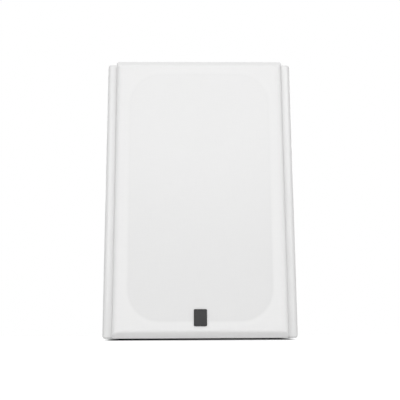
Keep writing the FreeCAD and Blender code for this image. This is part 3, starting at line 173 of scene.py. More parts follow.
# Each soft box: its name, place, width in metres and power in watts
SPEAKER_MIDDLE = Vector((0.0, 0.0, 0.16))
SOFT_BOXES = (("front_box", (-0.02, -1.0, 0.62), 0.8, 3.62),
              ("low_box", (-0.09, -1.1, 0.32), 0.6, 2.34),
              ("key_box", (0.36, -1.14, 0.74), 0.4, 1.48),
              ("top_box", (0.0, 0.0, 1.3), 0.6, 1.2),
              ("left_back_box", (-0.75, 0.95, 0.7), 0.6, 2.2),
              ("right_back_box", (0.75, 0.95, 0.7), 0.6, 2.2))
for name, place, width, power in SOFT_BOXES:
    light = bpy.data.lights.new(name, "AREA")
    light.shape = "SQUARE"
    light.size = width
    light.energy = power
    soft_box = bpy.data.objects.new(name, light)
    soft_box.location = place
    soft_box.rotation_mode = "QUATERNION"
    soft_box.rotation_quaternion = (SPEAKER_MIDDLE - Vector(place)).to_track_quat("-Z", "Y")
    scene.collection.objects.link(soft_box)

EYE = Vector((-0.01053, -0.79351, 0.00839))
EYE_YAW, EYE_PITCH, EYE_ROLL = (math.radians(angle) for angle in (0.885, 11.111, -0.290))
LENS_MM = 60.323
NEAREST = 0.01
ahead = Vector((math.sin(EYE_YAW) * math.cos(EYE_PITCH), math.cos(EYE_YAW) * math.cos(EYE_PITCH),
                math.sin(EYE_PITCH)))
level = Vector((math.cos(EYE_YAW), -math.sin(EYE_YAW), 0))
upward = level.cross(ahead)
right = level * math.cos(EYE_ROLL) + upward * math.sin(EYE_ROLL)
upward = upward * math.cos(EYE_ROLL) - level * math.sin(EYE_ROLL)
camera_data = bpy.data.cameras.new("camera")
camera_data.lens = LENS_MM
camera_data.clip_start = NEAREST
camera = bpy.data.objects.new("camera", camera_data)
camera.matrix_world = Matrix.Translation(EYE) @ Matrix((right, upward, -ahead)).transposed().to_4x4()
scene.collection.objects.link(camera)
scene.camera = camera

# Cabinet and front panel: a glued fibreboard box, filled, sanded and sprayed with white satin lacquer.
# The lacquer has the faint ripple of a sprayed coat and a slightly uneven gloss.


def new_group(name, inputs, outputs):
    """An empty shader node group with named number inputs and outputs; gives its tree and its two ends."""
    group = bpy.data.node_groups.new(name, "ShaderNodeTree")
    for socket_name, start in inputs.items():
        socket = group.interface.new_socket(socket_name, in_out="INPUT", socket_type="NodeSocketFloat")
        socket.default_value = start
    for socket_name in outputs:
        group.interface.new_socket(socket_name, in_out="OUTPUT", socket_type="NodeSocketFloat")
    return group, group.nodes.new("NodeGroupInput"), group.nodes.new("NodeGroupOutput")


# Surface grain: fine relief at one scale and soft patches at another, both in waves to the metre
grain_group, grain_in, grain_out = new_group(
    "surface_grain", {"Grain Scale": 1000.0, "Patch Scale": 40.0}, ("Relief", "Patches"))
grain_spot = add_node(grain_group, "ShaderNodeTexCoord").outputs["Object"]
for scale, detail, result in (("Grain Scale", 2.0, "Relief"), ("Patch Scale", 3.0, "Patches")):
    mottle = add_node(grain_group, "ShaderNodeTexNoise",
                      {"Vector": grain_spot, "Scale": grain_in.outputs[scale], "Detail": detail})
    grain_group.links.new(mottle.outputs[0], grain_out.inputs[result])


def spread(tree, source, low, high):
    """A 0 to 1 value moved to the range low to high."""
    return add_node(tree, "ShaderNodeMapRange", {"Value": source, "To Min": low, "To Max": high}).outputs[0]


def shade_between(tree, factor, dark, light):
    """A colour between two, by a 0 to 1 value."""
    ramp = add_node(tree, "ShaderNodeValToRGB", {"Fac": factor})
    ramp.color_ramp.elements[0].color = (*dark, 1.0)
    ramp.color_ramp.elements[1].color = (*light, 1.0)
    return ramp.outputs["Color"]


def grained(name, dark, light, roughness, grain, relief, patches=40.0, constants=None):
    """A finish whose colour and roughness vary in patches, with a fine grain whose relief is in metres."""
    material, tree, surface = new_material(name)
    group = add_node(tree, "ShaderNodeGroup", node_tree=grain_group)
    group.inputs["Grain Scale"].default_value = grain
    group.inputs["Patch Scale"].default_value = patches
    tree.links.new(shade_between(tree, group.outputs["Patches"], dark, light), surface.inputs["Base Color"])
    tree.links.new(spread(tree, group.outputs["Patches"], *roughness), surface.inputs["Roughness"])
    bump = add_node(tree, "ShaderNodeBump", {"Height": group.outputs["Relief"], "Distance": relief})
    tree.links.new(bump.outputs[0], surface.inputs["Normal"])
    for socket, number in (constants or {}).items():
        surface.inputs[socket].default_value = number
    return material


def dress(material, *names):
    """Give CAD nodes a finish."""
    for name in names:
        nodes[name].data.materials.clear()
        nodes[name].data.materials.append(material)


lacquer = grained("white_lacquer", (0.771, 0.771, 0.770), (0.790, 0.790, 0.789), roughness=(0.26, 0.34),
                  grain=420.0, relief=0.00002, patches=9.0,
                  constants={"Specular IOR Level": 0.35, "Coat Weight": 0.1, "Coat Roughness": 0.3})
dress(lacquer, "cabinet", "front_baffle")

# Window brace: a panel with a large rounded window, which stiffens the box between the two drivers.
# It is bare fibreboard, cut to shape and glued in across the cabinet.
fibreboard = grained("bare_fibreboard", (0.42, 0.29, 0.17), (0.56, 0.40, 0.25), roughness=(0.75, 0.9),
                     grain=1500.0, relief=0.00006)
dress(fibreboard, "window_brace")

# Damping pads: grey needled wadding, cut from a roll and glued to the side walls. It is soft and loose,
# thick in the middle and thin along the cut edges.
PAD_CUTS = 24
PAD_THICK, PAD_EDGE, PAD_EDGE_POWER = 0.015, 0.002, 8
PAD_FLUFF, FLUFF_SCALE = 0.0014, 70
pads_low, pads_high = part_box("damping_pads")
wadding_form = bmesh.new()
for side in (-1, 1):
    made = bmesh.ops.create_grid(wadding_form, x_segments=PAD_CUTS, y_segments=PAD_CUTS, size=0.5)["verts"]
    wall = pads_high.x * side
    for vertex in made:
        along, up_wall = vertex.co.x * 2, vertex.co.y * 2
        fullness = max(1 - along ** PAD_EDGE_POWER, 0) ** 0.5 * max(1 - up_wall ** PAD_EDGE_POWER, 0) ** 0.5
        vertex.co = Vector((wall, (pads_low.y + pads_high.y) / 2 + along * (pads_high.y - pads_low.y) / 2,
                            (pads_low.z + pads_high.z) / 2 + up_wall * (pads_high.z - pads_low.z) / 2))
        fluff = noise.noise(vertex.co * FLUFF_SCALE) * PAD_FLUFF * fullness
        vertex.co.x -= side * (PAD_EDGE + (PAD_THICK - PAD_EDGE - PAD_FLUFF) * fullness + fluff)
    edge = [e for e in wadding_form.edges if e.is_boundary and e.verts[0] in made]
    skirt = bmesh.ops.extrude_edge_only(wadding_form, edges=edge)["geom"]
    for vertex in (item for item in skirt if isinstance(item, bmesh.types.BMVert)):
        vertex.co.x = wall
    back = [e for e in wadding_form.edges if e.is_boundary]
    bmesh.ops.edgeloop_fill(wadding_form, edges=back)
bmesh.ops.recalc_face_normals(wadding_form, faces=wadding_form.faces)


def mesh_from(form, name, sharp_angle=40.0):
    """A mesh of a form, smooth but for its edges sharper than an angle."""
    mesh = bpy.data.meshes.new(name)
    form.to_mesh(mesh)
    form.free()
    mesh.polygons.foreach_set("use_smooth", [True] * len(mesh.polygons))
    mesh.set_sharp_from_angle(angle=math.radians(sharp_angle))
    return mesh


def add_piece(mesh, material, slot, *stands_for):
    """A piece of the loudspeaker that stands for CAD nodes."""
    piece = bpy.data.objects.new(mesh.name, mesh)
    scene.collection.objects.link(piece)
    mesh.materials.append(material)
    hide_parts(*stands_for)
    return piece


wadding = grained("needled_wadding", (0.20, 0.20, 0.21), (0.36, 0.36, 0.37), roughness=(0.9, 1.0),
                  grain=900.0, relief=0.0006, patches=120.0, constants={"Sheen Weight": 0.4})
wadding_pads = add_piece(mesh_from(wadding_form, "wadding_pads"), wadding, "felt", "damping_pads")
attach(wadding_pads, "speaker_box")

# Feet: four small discs that keep the base clear of the shelf. They are moulded from black rubber and stuck
# in under the base, and each tapers a little and is dished below.
UP_WAY = Vector((0, 0, 1))
SAME_POINT = 1e-7


def add_turned(form, profile, place, way, steps=96):
    """Turn a closed profile of radius and height round an axis that starts at a place and runs one way."""
    across = Vector((-way.y, way.x, 0)) if way.z == 0 else Vector((-1, 0, 0))
    upright = way.cross(across)
    rings = []
    for step in range(steps):
        turn = 2 * math.pi * step / steps
        arm = across * math.cos(turn) + upright * math.sin(turn)
        rings.append([form.verts.new(Vector(place) + arm * radius + way * height)
                      for radius, height in profile])
    made = []
    for step in range(steps):
        here, there = rings[step], rings[(step + 1) % steps]
        for number in range(len(profile)):
            after = (number + 1) % len(profile)
            if profile[number][0] < SAME_POINT and profile[after][0] < SAME_POINT:
                continue
            made.append(form.faces.new((here[number], here[after], there[after], there[number])))
    bmesh.ops.remove_doubles(form, verts=[vertex for ring in rings for vertex in ring], dist=SAME_POINT)
    bmesh.ops.recalc_face_normals(form, faces=[face for face in made if face.is_valid])


feet_low, feet_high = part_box("rubber_feet")
FOOT_RADIUS, FOOT_SOLE, FOOT_STEPS = 0.007, 0.0065, 48
# Radius and height: across the top, down the side, round the sole's edge and into the dish
FOOT_PROFILE = [(0, feet_high.z), (FOOT_RADIUS, feet_high.z), (FOOT_SOLE + 0.0001, 0.0004),
                (FOOT_SOLE, 0.0001), (FOOT_SOLE - 0.0003, 0), (0.0034, 0), (0.0026, 0.0003), (0, 0.0004)]
feet_form = bmesh.new()
for x in (feet_low.x + FOOT_RADIUS, feet_high.x - FOOT_RADIUS):
    for y in (feet_low.y + FOOT_RADIUS, feet_high.y - FOOT_RADIUS):
        add_turned(feet_form, FOOT_PROFILE, (x, y, 0), UP_WAY, FOOT_STEPS)
foot_rubber = grained("foot_rubber", (0.018, 0.018, 0.018), (0.030, 0.030, 0.030), roughness=(0.6, 0.75),
                      grain=2500.0, relief=0.00003)
moulded_feet = add_piece(mesh_from(feet_form, "moulded_feet"), foot_rubber, "foot_rubber", "rubber_feet")
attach(moulded_feet, "speaker_box")

# Bracket inserts: two threaded bushes in the back, by which the speaker hangs from a bracket.
# They are turned from brass with a cut thread and a chamfered mouth, and pressed into the back panel.
REAR_WAY = Vector((0, 1, 0))
BARE_METAL = {"Metallic": 1.0}
INSERT_RADIUS, INSERT_MINOR, INSERT_MAJOR, INSERT_LENGTH = 0.0045, 0.0025, 0.0029, 0.010
INSERT_CHAMFER, INSERT_EDGE, INSERT_STEPS = 0.0003, 0.0002, 48
THREAD_TURNS, THREAD_PITCH = 9, 0.001
THREAD_ROOT, THREAD_CREST = 0.1, -0.4
inserts_low, inserts_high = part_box("bracket_inserts")
insert_profile = [(INSERT_MAJOR + INSERT_CHAMFER, 0), (INSERT_RADIUS - INSERT_EDGE, 0),
                  (INSERT_RADIUS, -INSERT_EDGE), (INSERT_RADIUS, -INSERT_LENGTH),
                  (INSERT_MINOR, -INSERT_LENGTH)]
for turn in range(THREAD_TURNS, 0, -1):
    insert_profile.append((INSERT_MINOR, -(turn + THREAD_ROOT) * THREAD_PITCH))
    insert_profile.append((INSERT_MAJOR, -(turn + THREAD_CREST) * THREAD_PITCH))
insert_form = bmesh.new()
for z in (inserts_low.z + INSERT_RADIUS, inserts_high.z - INSERT_RADIUS):
    add_turned(insert_form, insert_profile, (0, inserts_high.y, z), REAR_WAY, INSERT_STEPS)
insert_brass = grained("insert_brass", (0.60, 0.42, 0.16), (0.72, 0.53, 0.24), roughness=(0.25, 0.38),
                       grain=3000.0, relief=0.00001, constants=BARE_METAL)
threaded_inserts = add_piece(mesh_from(insert_form, "threaded_inserts", sharp_angle=25.0), insert_brass,
                             "brass", "bracket_inserts")
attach(threaded_inserts, "speaker_box")

# Grille sockets: six small cups that grip the pegs of the grille's frame.
# They are moulded from black plastic and pressed into the front panel.
socket_plastic = grained("socket_plastic", (0.022, 0.022, 0.023), (0.034, 0.034, 0.035),
                         roughness=(0.45, 0.6), grain=2200.0, relief=0.00002)
dress(socket_plastic, "grille_sockets")

# Terminal cup and gasket: a round black moulding let into the back, which carries the binding posts.
# It is screwed down on a ring of closed-cell foam.
cup_plastic = grained("cup_plastic", (0.020, 0.020, 0.021), (0.034, 0.034, 0.035), roughness=(0.42, 0.58),
                      grain=1900.0, relief=0.00004)
dress(cup_plastic, "terminal_cup")
gasket_foam = grained("gasket_foam", (0.030, 0.030, 0.030), (0.060, 0.060, 0.060), roughness=(0.85, 1.0),
                      grain=1800.0, relief=0.0002)
dress(gasket_foam, "terminal_gasket")

# Binding posts, caps and nuts: posts of turned and gold-plated brass, held in the cup by nuts.
# The fluted caps, one red and one black, are moulded and turn on the posts.
post_gold = grained("gold_plate", (0.78, 0.55, 0.20), (0.90, 0.68, 0.32), roughness=(0.16, 0.28),
                    grain=3200.0, relief=0.00001, constants=BARE_METAL)
dress(post_gold, "positive_post", "negative_post", "post_nuts")
CAP_GLOSS = {"Coat Weight": 0.3}
cap_red = grained("cap_red", (0.42, 0.012, 0.012), (0.52, 0.020, 0.018), roughness=(0.28, 0.4),
                  grain=1500.0, relief=0.00002, constants=CAP_GLOSS)
dress(cap_red, "positive_cap")
cap_black = grained("cap_black", (0.014, 0.014, 0.014), (0.024, 0.024, 0.024), roughness=(0.28, 0.4),
                    grain=1500.0, relief=0.00002, constants=CAP_GLOSS)
dress(cap_black, "negative_cap")

# Crossover: a green fibreglass board that parts the signal between the drivers, screwed down on nylon
# spacers. It carries inductors of enamelled copper wire, film capacitors and a cement resistor.
board_green = grained("board_green", (0.020, 0.095, 0.045), (0.030, 0.130, 0.062), roughness=(0.3, 0.45),
                      grain=1400.0, relief=0.00003)
dress(board_green, "crossover_board")
nylon = grained("bobbin_nylon", (0.62, 0.61, 0.56), (0.72, 0.71, 0.66), roughness=(0.4, 0.55),
                grain=1200.0, relief=0.00002)
dress(nylon, "crossover_spacers", "inductor_bobbin")
zinc_steel = grained("zinc_plated_steel", (0.48, 0.49, 0.50), (0.64, 0.65, 0.66), roughness=(0.28, 0.45),
                     grain=1400.0, relief=0.00001, patches=60.0, constants=BARE_METAL)
dress(zinc_steel, "crossover_screws")
coil_copper = grained("coil_copper", (0.62, 0.25, 0.10), (0.78, 0.38, 0.18), roughness=(0.22, 0.36),
                      grain=5000.0, relief=0.00003, constants=BARE_METAL)
dress(coil_copper, "inductor_winding", "tweeter_choke")
film_wrap = grained("film_wrap", (0.46, 0.30, 0.06), (0.58, 0.40, 0.10), roughness=(0.25, 0.4),
                    grain=700.0, relief=0.00003)
dress(film_wrap, "large_capacitor", "small_capacitor")
cement = grained("cement_ceramic", (0.62, 0.60, 0.56), (0.74, 0.72, 0.68), roughness=(0.75, 0.9),
                 grain=1100.0, relief=0.0001)
dress(cement, "resistor")

# Woofer basket and gasket: the frame that carries the woofer, die-cast with six windows and powder-coated
# black. It is screwed to the front panel on a ring of closed-cell foam.
powder_coat = grained("basket_powder_coat", (0.018, 0.018, 0.019), (0.032, 0.032, 0.033),
                      roughness=(0.5, 0.65), grain=1600.0, relief=0.00004)
dress(powder_coat, "woofer_basket")
dress(gasket_foam, "woofer_gasket")

# Woofer surround: a half roll of soft black rubber, glued to the basket's ledge outside and to the cone
# inside.
FRONT_WAY = Vector((0, -1, 0))
WOOFER_STEPS = 128
ROLL_STEPS, LEG_STEPS = 14, 8
ROLL_OUT, ROLL_IN, ROLL_SKIN = 0.057, 0.048, 0.0008
LIP_EDGE, LIP_BACK, LIP_TOP = 0.064, -0.0015, -0.0007
RIM_EDGE, RIM_BACK = 0.044, -0.006
basket_low, basket_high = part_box("woofer_basket")
FACE_Y = basket_low.y
WOOFER_Z = (basket_low.z + basket_high.z) / 2
roll_middle, roll_radius = (ROLL_OUT + ROLL_IN) / 2, (ROLL_OUT - ROLL_IN) / 2


def half_roll(radius, start, end):
    """Points of a half circle over the roll's middle."""
    turns = [start + (end - start) * step / ROLL_STEPS for step in range(ROLL_STEPS + 1)]
    return [(roll_middle + radius * math.cos(turn), LIP_TOP + radius * math.sin(turn)) for turn in turns]


def leg(radius, start, end):
    """Points down the roll's inner leg."""
    return [(radius, start + (end - start) * step / LEG_STEPS) for step in range(1, LEG_STEPS)]


surround_profile = ([(LIP_EDGE, LIP_BACK), (LIP_EDGE, LIP_TOP)] + half_roll(roll_radius, 0, math.pi)
                    + leg(ROLL_IN, LIP_TOP, RIM_BACK + ROLL_SKIN)
                    + [(ROLL_IN, RIM_BACK + ROLL_SKIN), (RIM_EDGE, RIM_BACK + ROLL_SKIN),
                       (RIM_EDGE, RIM_BACK), (ROLL_IN + ROLL_SKIN, RIM_BACK)]
                    + leg(ROLL_IN + ROLL_SKIN, RIM_BACK, LIP_TOP)
                    + half_roll(roll_radius - ROLL_SKIN, math.pi, 0) + [(ROLL_OUT - ROLL_SKIN, LIP_BACK)])
surround_form = bmesh.new()
add_turned(surround_form, surround_profile, (0, FACE_Y, WOOFER_Z), FRONT_WAY, WOOFER_STEPS)
surround_rubber = grained("surround_rubber", (0.012, 0.012, 0.012), (0.022, 0.022, 0.022),
                          roughness=(0.45, 0.6), grain=900.0, relief=0.00003)
surround = add_piece(mesh_from(surround_form, "rolled_surround", sharp_angle=50.0), surround_rubber,
                     "surround_rubber", "woofer_surround")
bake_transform(surround)

# Woofer cone and dust cap: pressed paper pulp, dyed charcoal, with three shallow ribs round the cone.
# The fibres lie every way and give it a matt, slightly mottled face.
CONE_RIM, CONE_NECK, CONE_SKIN = (0.048, -0.006), (0.013, -0.027), 0.0012
CONE_FLAT = 0.044
CONE_STEPS = 48
RIBS, RIB_HEIGHT, RIB_POWER = 3, 0.0006, 3
cone_face = [CONE_RIM]
for step in range(CONE_STEPS + 1):
    part = step / CONE_STEPS
    rib = RIB_HEIGHT * max(math.sin(2 * math.pi * RIBS * part), 0) ** RIB_POWER
    cone_face.append((CONE_FLAT + (CONE_NECK[0] - CONE_FLAT) * part,
                      CONE_RIM[1] + (CONE_NECK[1] - CONE_RIM[1]) * part + rib))
cone_profile = cone_face + [(radius, height - CONE_SKIN) for radius, height in reversed(cone_face)]
cone_form = bmesh.new()
add_turned(cone_form, cone_profile, (0, FACE_Y, WOOFER_Z), FRONT_WAY, WOOFER_STEPS)
cone_paper = grained("cone_paper", (0.022, 0.022, 0.023), (0.052, 0.052, 0.054), roughness=(0.7, 0.85),
                     grain=1300.0, relief=0.00012, patches=260.0)
ribbed_cone = add_piece(mesh_from(cone_form, "ribbed_cone"), cone_paper, "cone_paper", "woofer_cone")
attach(ribbed_cone, "woofer_piston")
dress(cone_paper, "woofer_dust_cap")

# Woofer spider: a disc of resin-stiffened cotton, pressed into rings, which centres the voice coil.
# Its flat edge is glued to the basket and its collar to the coil's former.
SPIDER_IN, SPIDER_COLLAR, SPIDER_OUT, SPIDER_EDGE = 0.013, 0.0155, 0.0355, 0.042
SPIDER_TOP, SPIDER_DROP, SPIDER_SKIN, SPIDER_WAVE = -0.031, 0.0054, 0.0006, 0.0009
SPIDER_PLEATS, SPIDER_STEPS = 4, 48
spider_face = [(SPIDER_IN, SPIDER_TOP)]
for step in range(SPIDER_STEPS + 1):
    part = step / SPIDER_STEPS
    wave = -SPIDER_WAVE * math.sin(2 * math.pi * SPIDER_PLEATS * part)
    spider_face.append((SPIDER_COLLAR + (SPIDER_OUT - SPIDER_COLLAR) * part,
                        SPIDER_TOP - SPIDER_DROP * part + wave))
spider_face.append((SPIDER_EDGE, SPIDER_TOP - SPIDER_DROP))
spider_profile = spider_face + [(radius, height - SPIDER_SKIN) for radius, height in reversed(spider_face)]
spider_form = bmesh.new()
add_turned(spider_form, spider_profile, (0, FACE_Y, WOOFER_Z), FRONT_WAY)
spider_cloth = grained("spider_cloth", (0.42, 0.27, 0.10), (0.58, 0.40, 0.18), roughness=(0.75, 0.9),
                       grain=2600.0, relief=0.00012, patches=300.0)
spider = add_piece(mesh_from(spider_form, "pleated_spider"), spider_cloth, "spider_cloth", "woofer_spider")
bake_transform(spider)

# Voice coils and former: enamelled copper wire, wound in fine turns. The woofer's coil sits on a thin
# aluminium tube that is glued to the cone, and the tweeter's hangs from the dome's rim.
dress(coil_copper, "woofer_voice_coil", "tweeter_voice_coil")
former_foil = grained("former_foil", (0.66, 0.66, 0.67), (0.80, 0.80, 0.81), roughness=(0.2, 0.35),
                      grain=2400.0, relief=0.00001, constants=BARE_METAL)
dress(former_foil, "woofer_coil_former")

# Magnet systems: behind each driver, a pressed ferrite ring between two zinc-plated steel plates.
# The rear plate carries the pole, and the stack is glued together.
dress(zinc_steel, "woofer_front_plate", "woofer_back_plate", "tweeter_front_plate", "tweeter_back_plate")
ferrite = grained("ferrite", (0.040, 0.041, 0.043), (0.075, 0.076, 0.080), roughness=(0.5, 0.7),
                  grain=1200.0, relief=0.00008)
dress(ferrite, "woofer_magnet", "tweeter_magnet")

# Tweeter faceplate and gasket: a round black moulding with a fine spark-eroded grain and a short flared
# mouth. It is screwed to the front panel on a ring of closed-cell foam.
faceplate_plastic = grained("faceplate_plastic", (0.020, 0.020, 0.021), (0.032, 0.032, 0.033),
                            roughness=(0.5, 0.65), grain=2400.0, relief=0.00003)
dress(faceplate_plastic, "tweeter_faceplate")
dress(gasket_foam, "tweeter_gasket")

# Tweeter dome and its roll: fine coated cloth, pressed to shape. The roll's flat lip is clamped behind the
# faceplate; its inner edge is glued round the dome's rim.
plate_low, plate_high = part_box("tweeter_faceplate")
TWEETER_Y, TWEETER_Z = plate_low.y, (plate_low.z + plate_high.z) / 2
DOME_ROLL_STEPS = 16
DOME_ROLL_LIP, DOME_ROLL_BACK = 0.0195, -0.009
DOME_ROLL_OUT, DOME_ROLL_IN, DOME_ROLL_SKIN = 0.0152, 0.01295, 0.0003
DOME_ROLL_FOOT, DOME_ROLL_RIM = -0.0085, -0.00805
DOME_ROLL_RISE, DOME_ROLL_POWER = 0.00095, 0.8
dome_cloth = grained("dome_cloth", (0.026, 0.026, 0.028), (0.048, 0.048, 0.051), roughness=(0.55, 0.7),
                     grain=4200.0, relief=0.00004)
dress(dome_cloth, "tweeter_dome")


def dome_arch(outer, inner, lowered):
    """Points over the tweeter's roll, from its lip in to the dome's rim."""
    parts = [step / DOME_ROLL_STEPS for step in range(DOME_ROLL_STEPS + 1)]
    return [(outer + (inner - outer) * part,
             DOME_ROLL_FOOT + (DOME_ROLL_RIM - DOME_ROLL_FOOT) * part - lowered
             + DOME_ROLL_RISE * math.sin(math.pi * part) ** DOME_ROLL_POWER) for part in parts]


arch_under = dome_arch(DOME_ROLL_OUT - DOME_ROLL_SKIN, DOME_ROLL_IN + DOME_ROLL_SKIN, DOME_ROLL_SKIN)
dome_roll_profile = ([(DOME_ROLL_LIP, DOME_ROLL_BACK), (DOME_ROLL_LIP, DOME_ROLL_FOOT)]
                     + dome_arch(DOME_ROLL_OUT, DOME_ROLL_IN, 0)
                     + [(DOME_ROLL_IN, DOME_ROLL_RIM - DOME_ROLL_SKIN)] + arch_under[::-1]
                     + [(DOME_ROLL_OUT - DOME_ROLL_SKIN, DOME_ROLL_BACK)])
dome_roll_form = bmesh.new()
add_turned(dome_roll_form, dome_roll_profile, (0, TWEETER_Y, TWEETER_Z), FRONT_WAY)
dome_roll = add_piece(mesh_from(dome_roll_form, "tweeter_roll", sharp_angle=50.0), dome_cloth,
                      "dome_cloth", "tweeter_surround")
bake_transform(dome_roll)

# Tag strips, tags and leads: each driver has tinned brass tags on a strip of brown resin-bonded board.
# Soft insulated wires run from the terminals to the crossover and from there to the tags.
tag_board = grained("tag_board", (0.20, 0.10, 0.045), (0.28, 0.15, 0.07), roughness=(0.55, 0.7),
                    grain=1600.0, relief=0.00004)
dress(tag_board, "woofer_tag_strip", "tweeter_tag_strip")
tinned = grained("tinned_brass", (0.66, 0.66, 0.64), (0.78, 0.78, 0.76), roughness=(0.25, 0.4),
                 grain=2200.0, relief=0.00001, constants=BARE_METAL)
dress(tinned, "woofer_tags", "tweeter_tags")
lead_sleeve = grained("lead_sleeve", (0.020, 0.020, 0.021), (0.040, 0.040, 0.042), roughness=(0.4, 0.55),
                      grain=1300.0, relief=0.00003)
dress(lead_sleeve, "input_leads", "woofer_leads", "tweeter_leads")

# Screws: wood screws of blackened steel with domed heads and a cross recess.
# They hold the two drivers to the front panel and the terminal cup to the back.
HEAD_RADIUS, HEAD_HEIGHT, SHANK_RADIUS = 0.0038, 0.002, 0.0018
HEAD_RIM, HEAD_POWER = 0.45, 2.6
HEAD_RINGS, HEAD_STEPS = 16, 64
RECESS_HALF, RECESS_REACH, RECESS_DEPTH, RECESS_SLOPE = 0.00045, 0.0021, 0.0011, 0.00025
RECESS_RUN_OUT = 0.8
TURNED_ON = 0.7


def head_height(x, y):
    """The screw head's height at a place on it: a low dome with a cross pressed into it."""
    part = math.hypot(x, y) / HEAD_RADIUS
    dome = HEAD_HEIGHT * (HEAD_RIM + (1 - HEAD_RIM) * math.sqrt(max(1 - part ** HEAD_POWER, 0)))
    depth = 0
    for first, second in ((abs(x), abs(y)), (abs(y), abs(x))):
        inside = min(RECESS_HALF - first, RECESS_REACH - second) / RECESS_SLOPE + 0.5
        depth = max(depth, min(max(inside, 0), 1))
    return dome - RECESS_DEPTH * depth * (1 - part * RECESS_RUN_OUT)


def band_between(first, second):
    """The corners of each face between two rings of points."""
    pairs = list(zip(first, second))
    return [(a, b, d, c) for (a, b), (c, d) in zip(pairs, pairs[1:] + pairs[:1])]


def add_screw(form, place, way, length, turned_by):
    """One screw: its head from the recess outwards, then its underside and its shank."""
    across = Vector((-way.y, way.x, 0))
    upright = way.cross(across)
    head = [(number / HEAD_RINGS * HEAD_RADIUS, None) for number in range(HEAD_RINGS + 1)]
    below = [(HEAD_RADIUS, 0), (SHANK_RADIUS, 0), (SHANK_RADIUS, -length + SHANK_RADIUS), (0, -length)]
    rings = []
    for radius, height in head + below:
        ring = []
        for step in range(HEAD_STEPS):
            turn = 2 * math.pi * step / HEAD_STEPS
            x, y = radius * math.cos(turn), radius * math.sin(turn)
            level = head_height(x, y) if height is None else height
            aim = turn + turned_by
            arm = across * (radius * math.cos(aim)) + upright * (radius * math.sin(aim))
            ring.append(form.verts.new(Vector(place) + arm + way * level))
        rings.append(ring)
    made = []
    for inner_ring, outer_ring in zip(rings, rings[1:]):
        made += [form.faces.new(corners) for corners in band_between(inner_ring, outer_ring)]
    bmesh.ops.remove_doubles(form, verts=[vertex for ring in rings for vertex in ring], dist=SAME_POINT)
    bmesh.ops.recalc_face_normals(form, faces=[face for face in made if face.is_valid])


screw_black = grained("black_oxide_steel", (0.030, 0.030, 0.032), (0.060, 0.060, 0.064),
                      roughness=(0.32, 0.48), grain=2600.0, relief=0.00001, constants={"Metallic": 0.8})
# Each set of screws: its node, count, the radius of its circle, its way, the length and the piece it holds
SCREW_RINGS = (("woofer_screws", 6, 0.0685, FRONT_WAY, 0.016, "woofer_basket"),
               ("tweeter_screws", 4, 0.041, FRONT_WAY, 0.016, "tweeter_faceplate"),
               ("terminal_screws", 4, 0.041, REAR_WAY, 0.008, "terminal_cup"))
for node, count, circle_radius, way, length, held in SCREW_RINGS:
    held_low, held_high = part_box(held)
    seat_y = held_low.y if way == FRONT_WAY else held_high.y
    middle_z = (held_low.z + held_high.z) / 2
    screw_form = bmesh.new()
    for number in range(count):
        turn = 2 * math.pi * (number + 0.5) / count
        place = (circle_radius * math.cos(turn), seat_y, middle_z + circle_radius * math.sin(turn))
        add_screw(screw_form, place, way, length, TURNED_ON * number)
    screw_set = add_piece(mesh_from(screw_form, node + "_set"), screw_black, "black_steel", node)
    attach(screw_set, "speaker_box")

# Grille frame: one white plastic moulding that carries the cloth, with a ring, a wall and six pegs.
# The pegs push into the front panel's sockets, and the cloth hides all but the frame's back.
grille_plastic = grained("grille_plastic", (0.78, 0.78, 0.77), (0.83, 0.83, 0.82), roughness=(0.45, 0.6),
                         grain=1800.0, relief=0.00003)
dress(grille_plastic, "grille_frame")

# Grille cloth: white acoustic cloth in a plain weave, drawn tight over the frame and glued behind its edges.
# Between the frame's inner edges it lies as a tight membrane; the dark room behind it greys it a little, and
# painted shade greys it more towards the foot.
cloth_low, cloth_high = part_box("grille_cloth")
HALF_WIDTH = (cloth_high.x - cloth_low.x) / 2
HALF_HEIGHT = (cloth_high.z - cloth_low.z) / 2
CLOTH_MIDDLE = (cloth_high.z + cloth_low.z) / 2
CREST_Y, CROWN = cloth_low.y, 0.0008
EDGE_ROUND, EDGE_REACH = 0.005, 0.0072
END_BEVEL, END_BEND = 0.0074, 0.0075
BEND_START = END_BEVEL + (math.sqrt(2) - 1) * END_BEND
BEVEL_END = END_BEVEL - (1 - math.sqrt(0.5)) * END_BEND
CORNER_ROUND, MITRE_SOFTNESS = 0.0025, 0.0009
SIDE_MARGIN, END_MARGIN, OPENING_ROUND = 0.014, 0.0154, 0.035
FOLD_LIFT, TUCK = 0.0002, 0.0024
CLOTH_BACK_Y = cloth_high.y + FOLD_LIFT
SKIRT_ROWS = ((0.05, 0), (0.35, 0), (0.7, 0), (1, 0), (1, TUCK))
ARC_STEPS, BEVEL_STEPS = 8, 6
FIRM_EDGE, FACE_STEP = 0.0004, 0.0016
RELAXATIONS = 6000
TINY = 1e-6
side_rows = [EDGE_REACH * (1 - math.cos(math.pi / 2 * step / ARC_STEPS)) for step in range(ARC_STEPS)]
bevel_rows = [FIRM_EDGE + (BEVEL_END - FIRM_EDGE) * step / BEVEL_STEPS for step in range(1, BEVEL_STEPS + 1)]
bend_rows = [BEND_START - END_BEND * math.sin(math.pi / 4 * (1 - step / ARC_STEPS))
             for step in range(1, ARC_STEPS)]
end_rows = [0, FIRM_EDGE] + bevel_rows + bend_rows


def insets(half, edge_rows, face_start):
    """Distances from one edge across to the other: one edge's rows, the face's even steps, the other edge."""
    count = round((2 * half - 2 * face_start) / FACE_STEP)
    face = [face_start + (2 * half - 2 * face_start) * step / count for step in range(count + 1)]
    return np.array(edge_rows + face + [2 * half - inset for inset in reversed(edge_rows)])


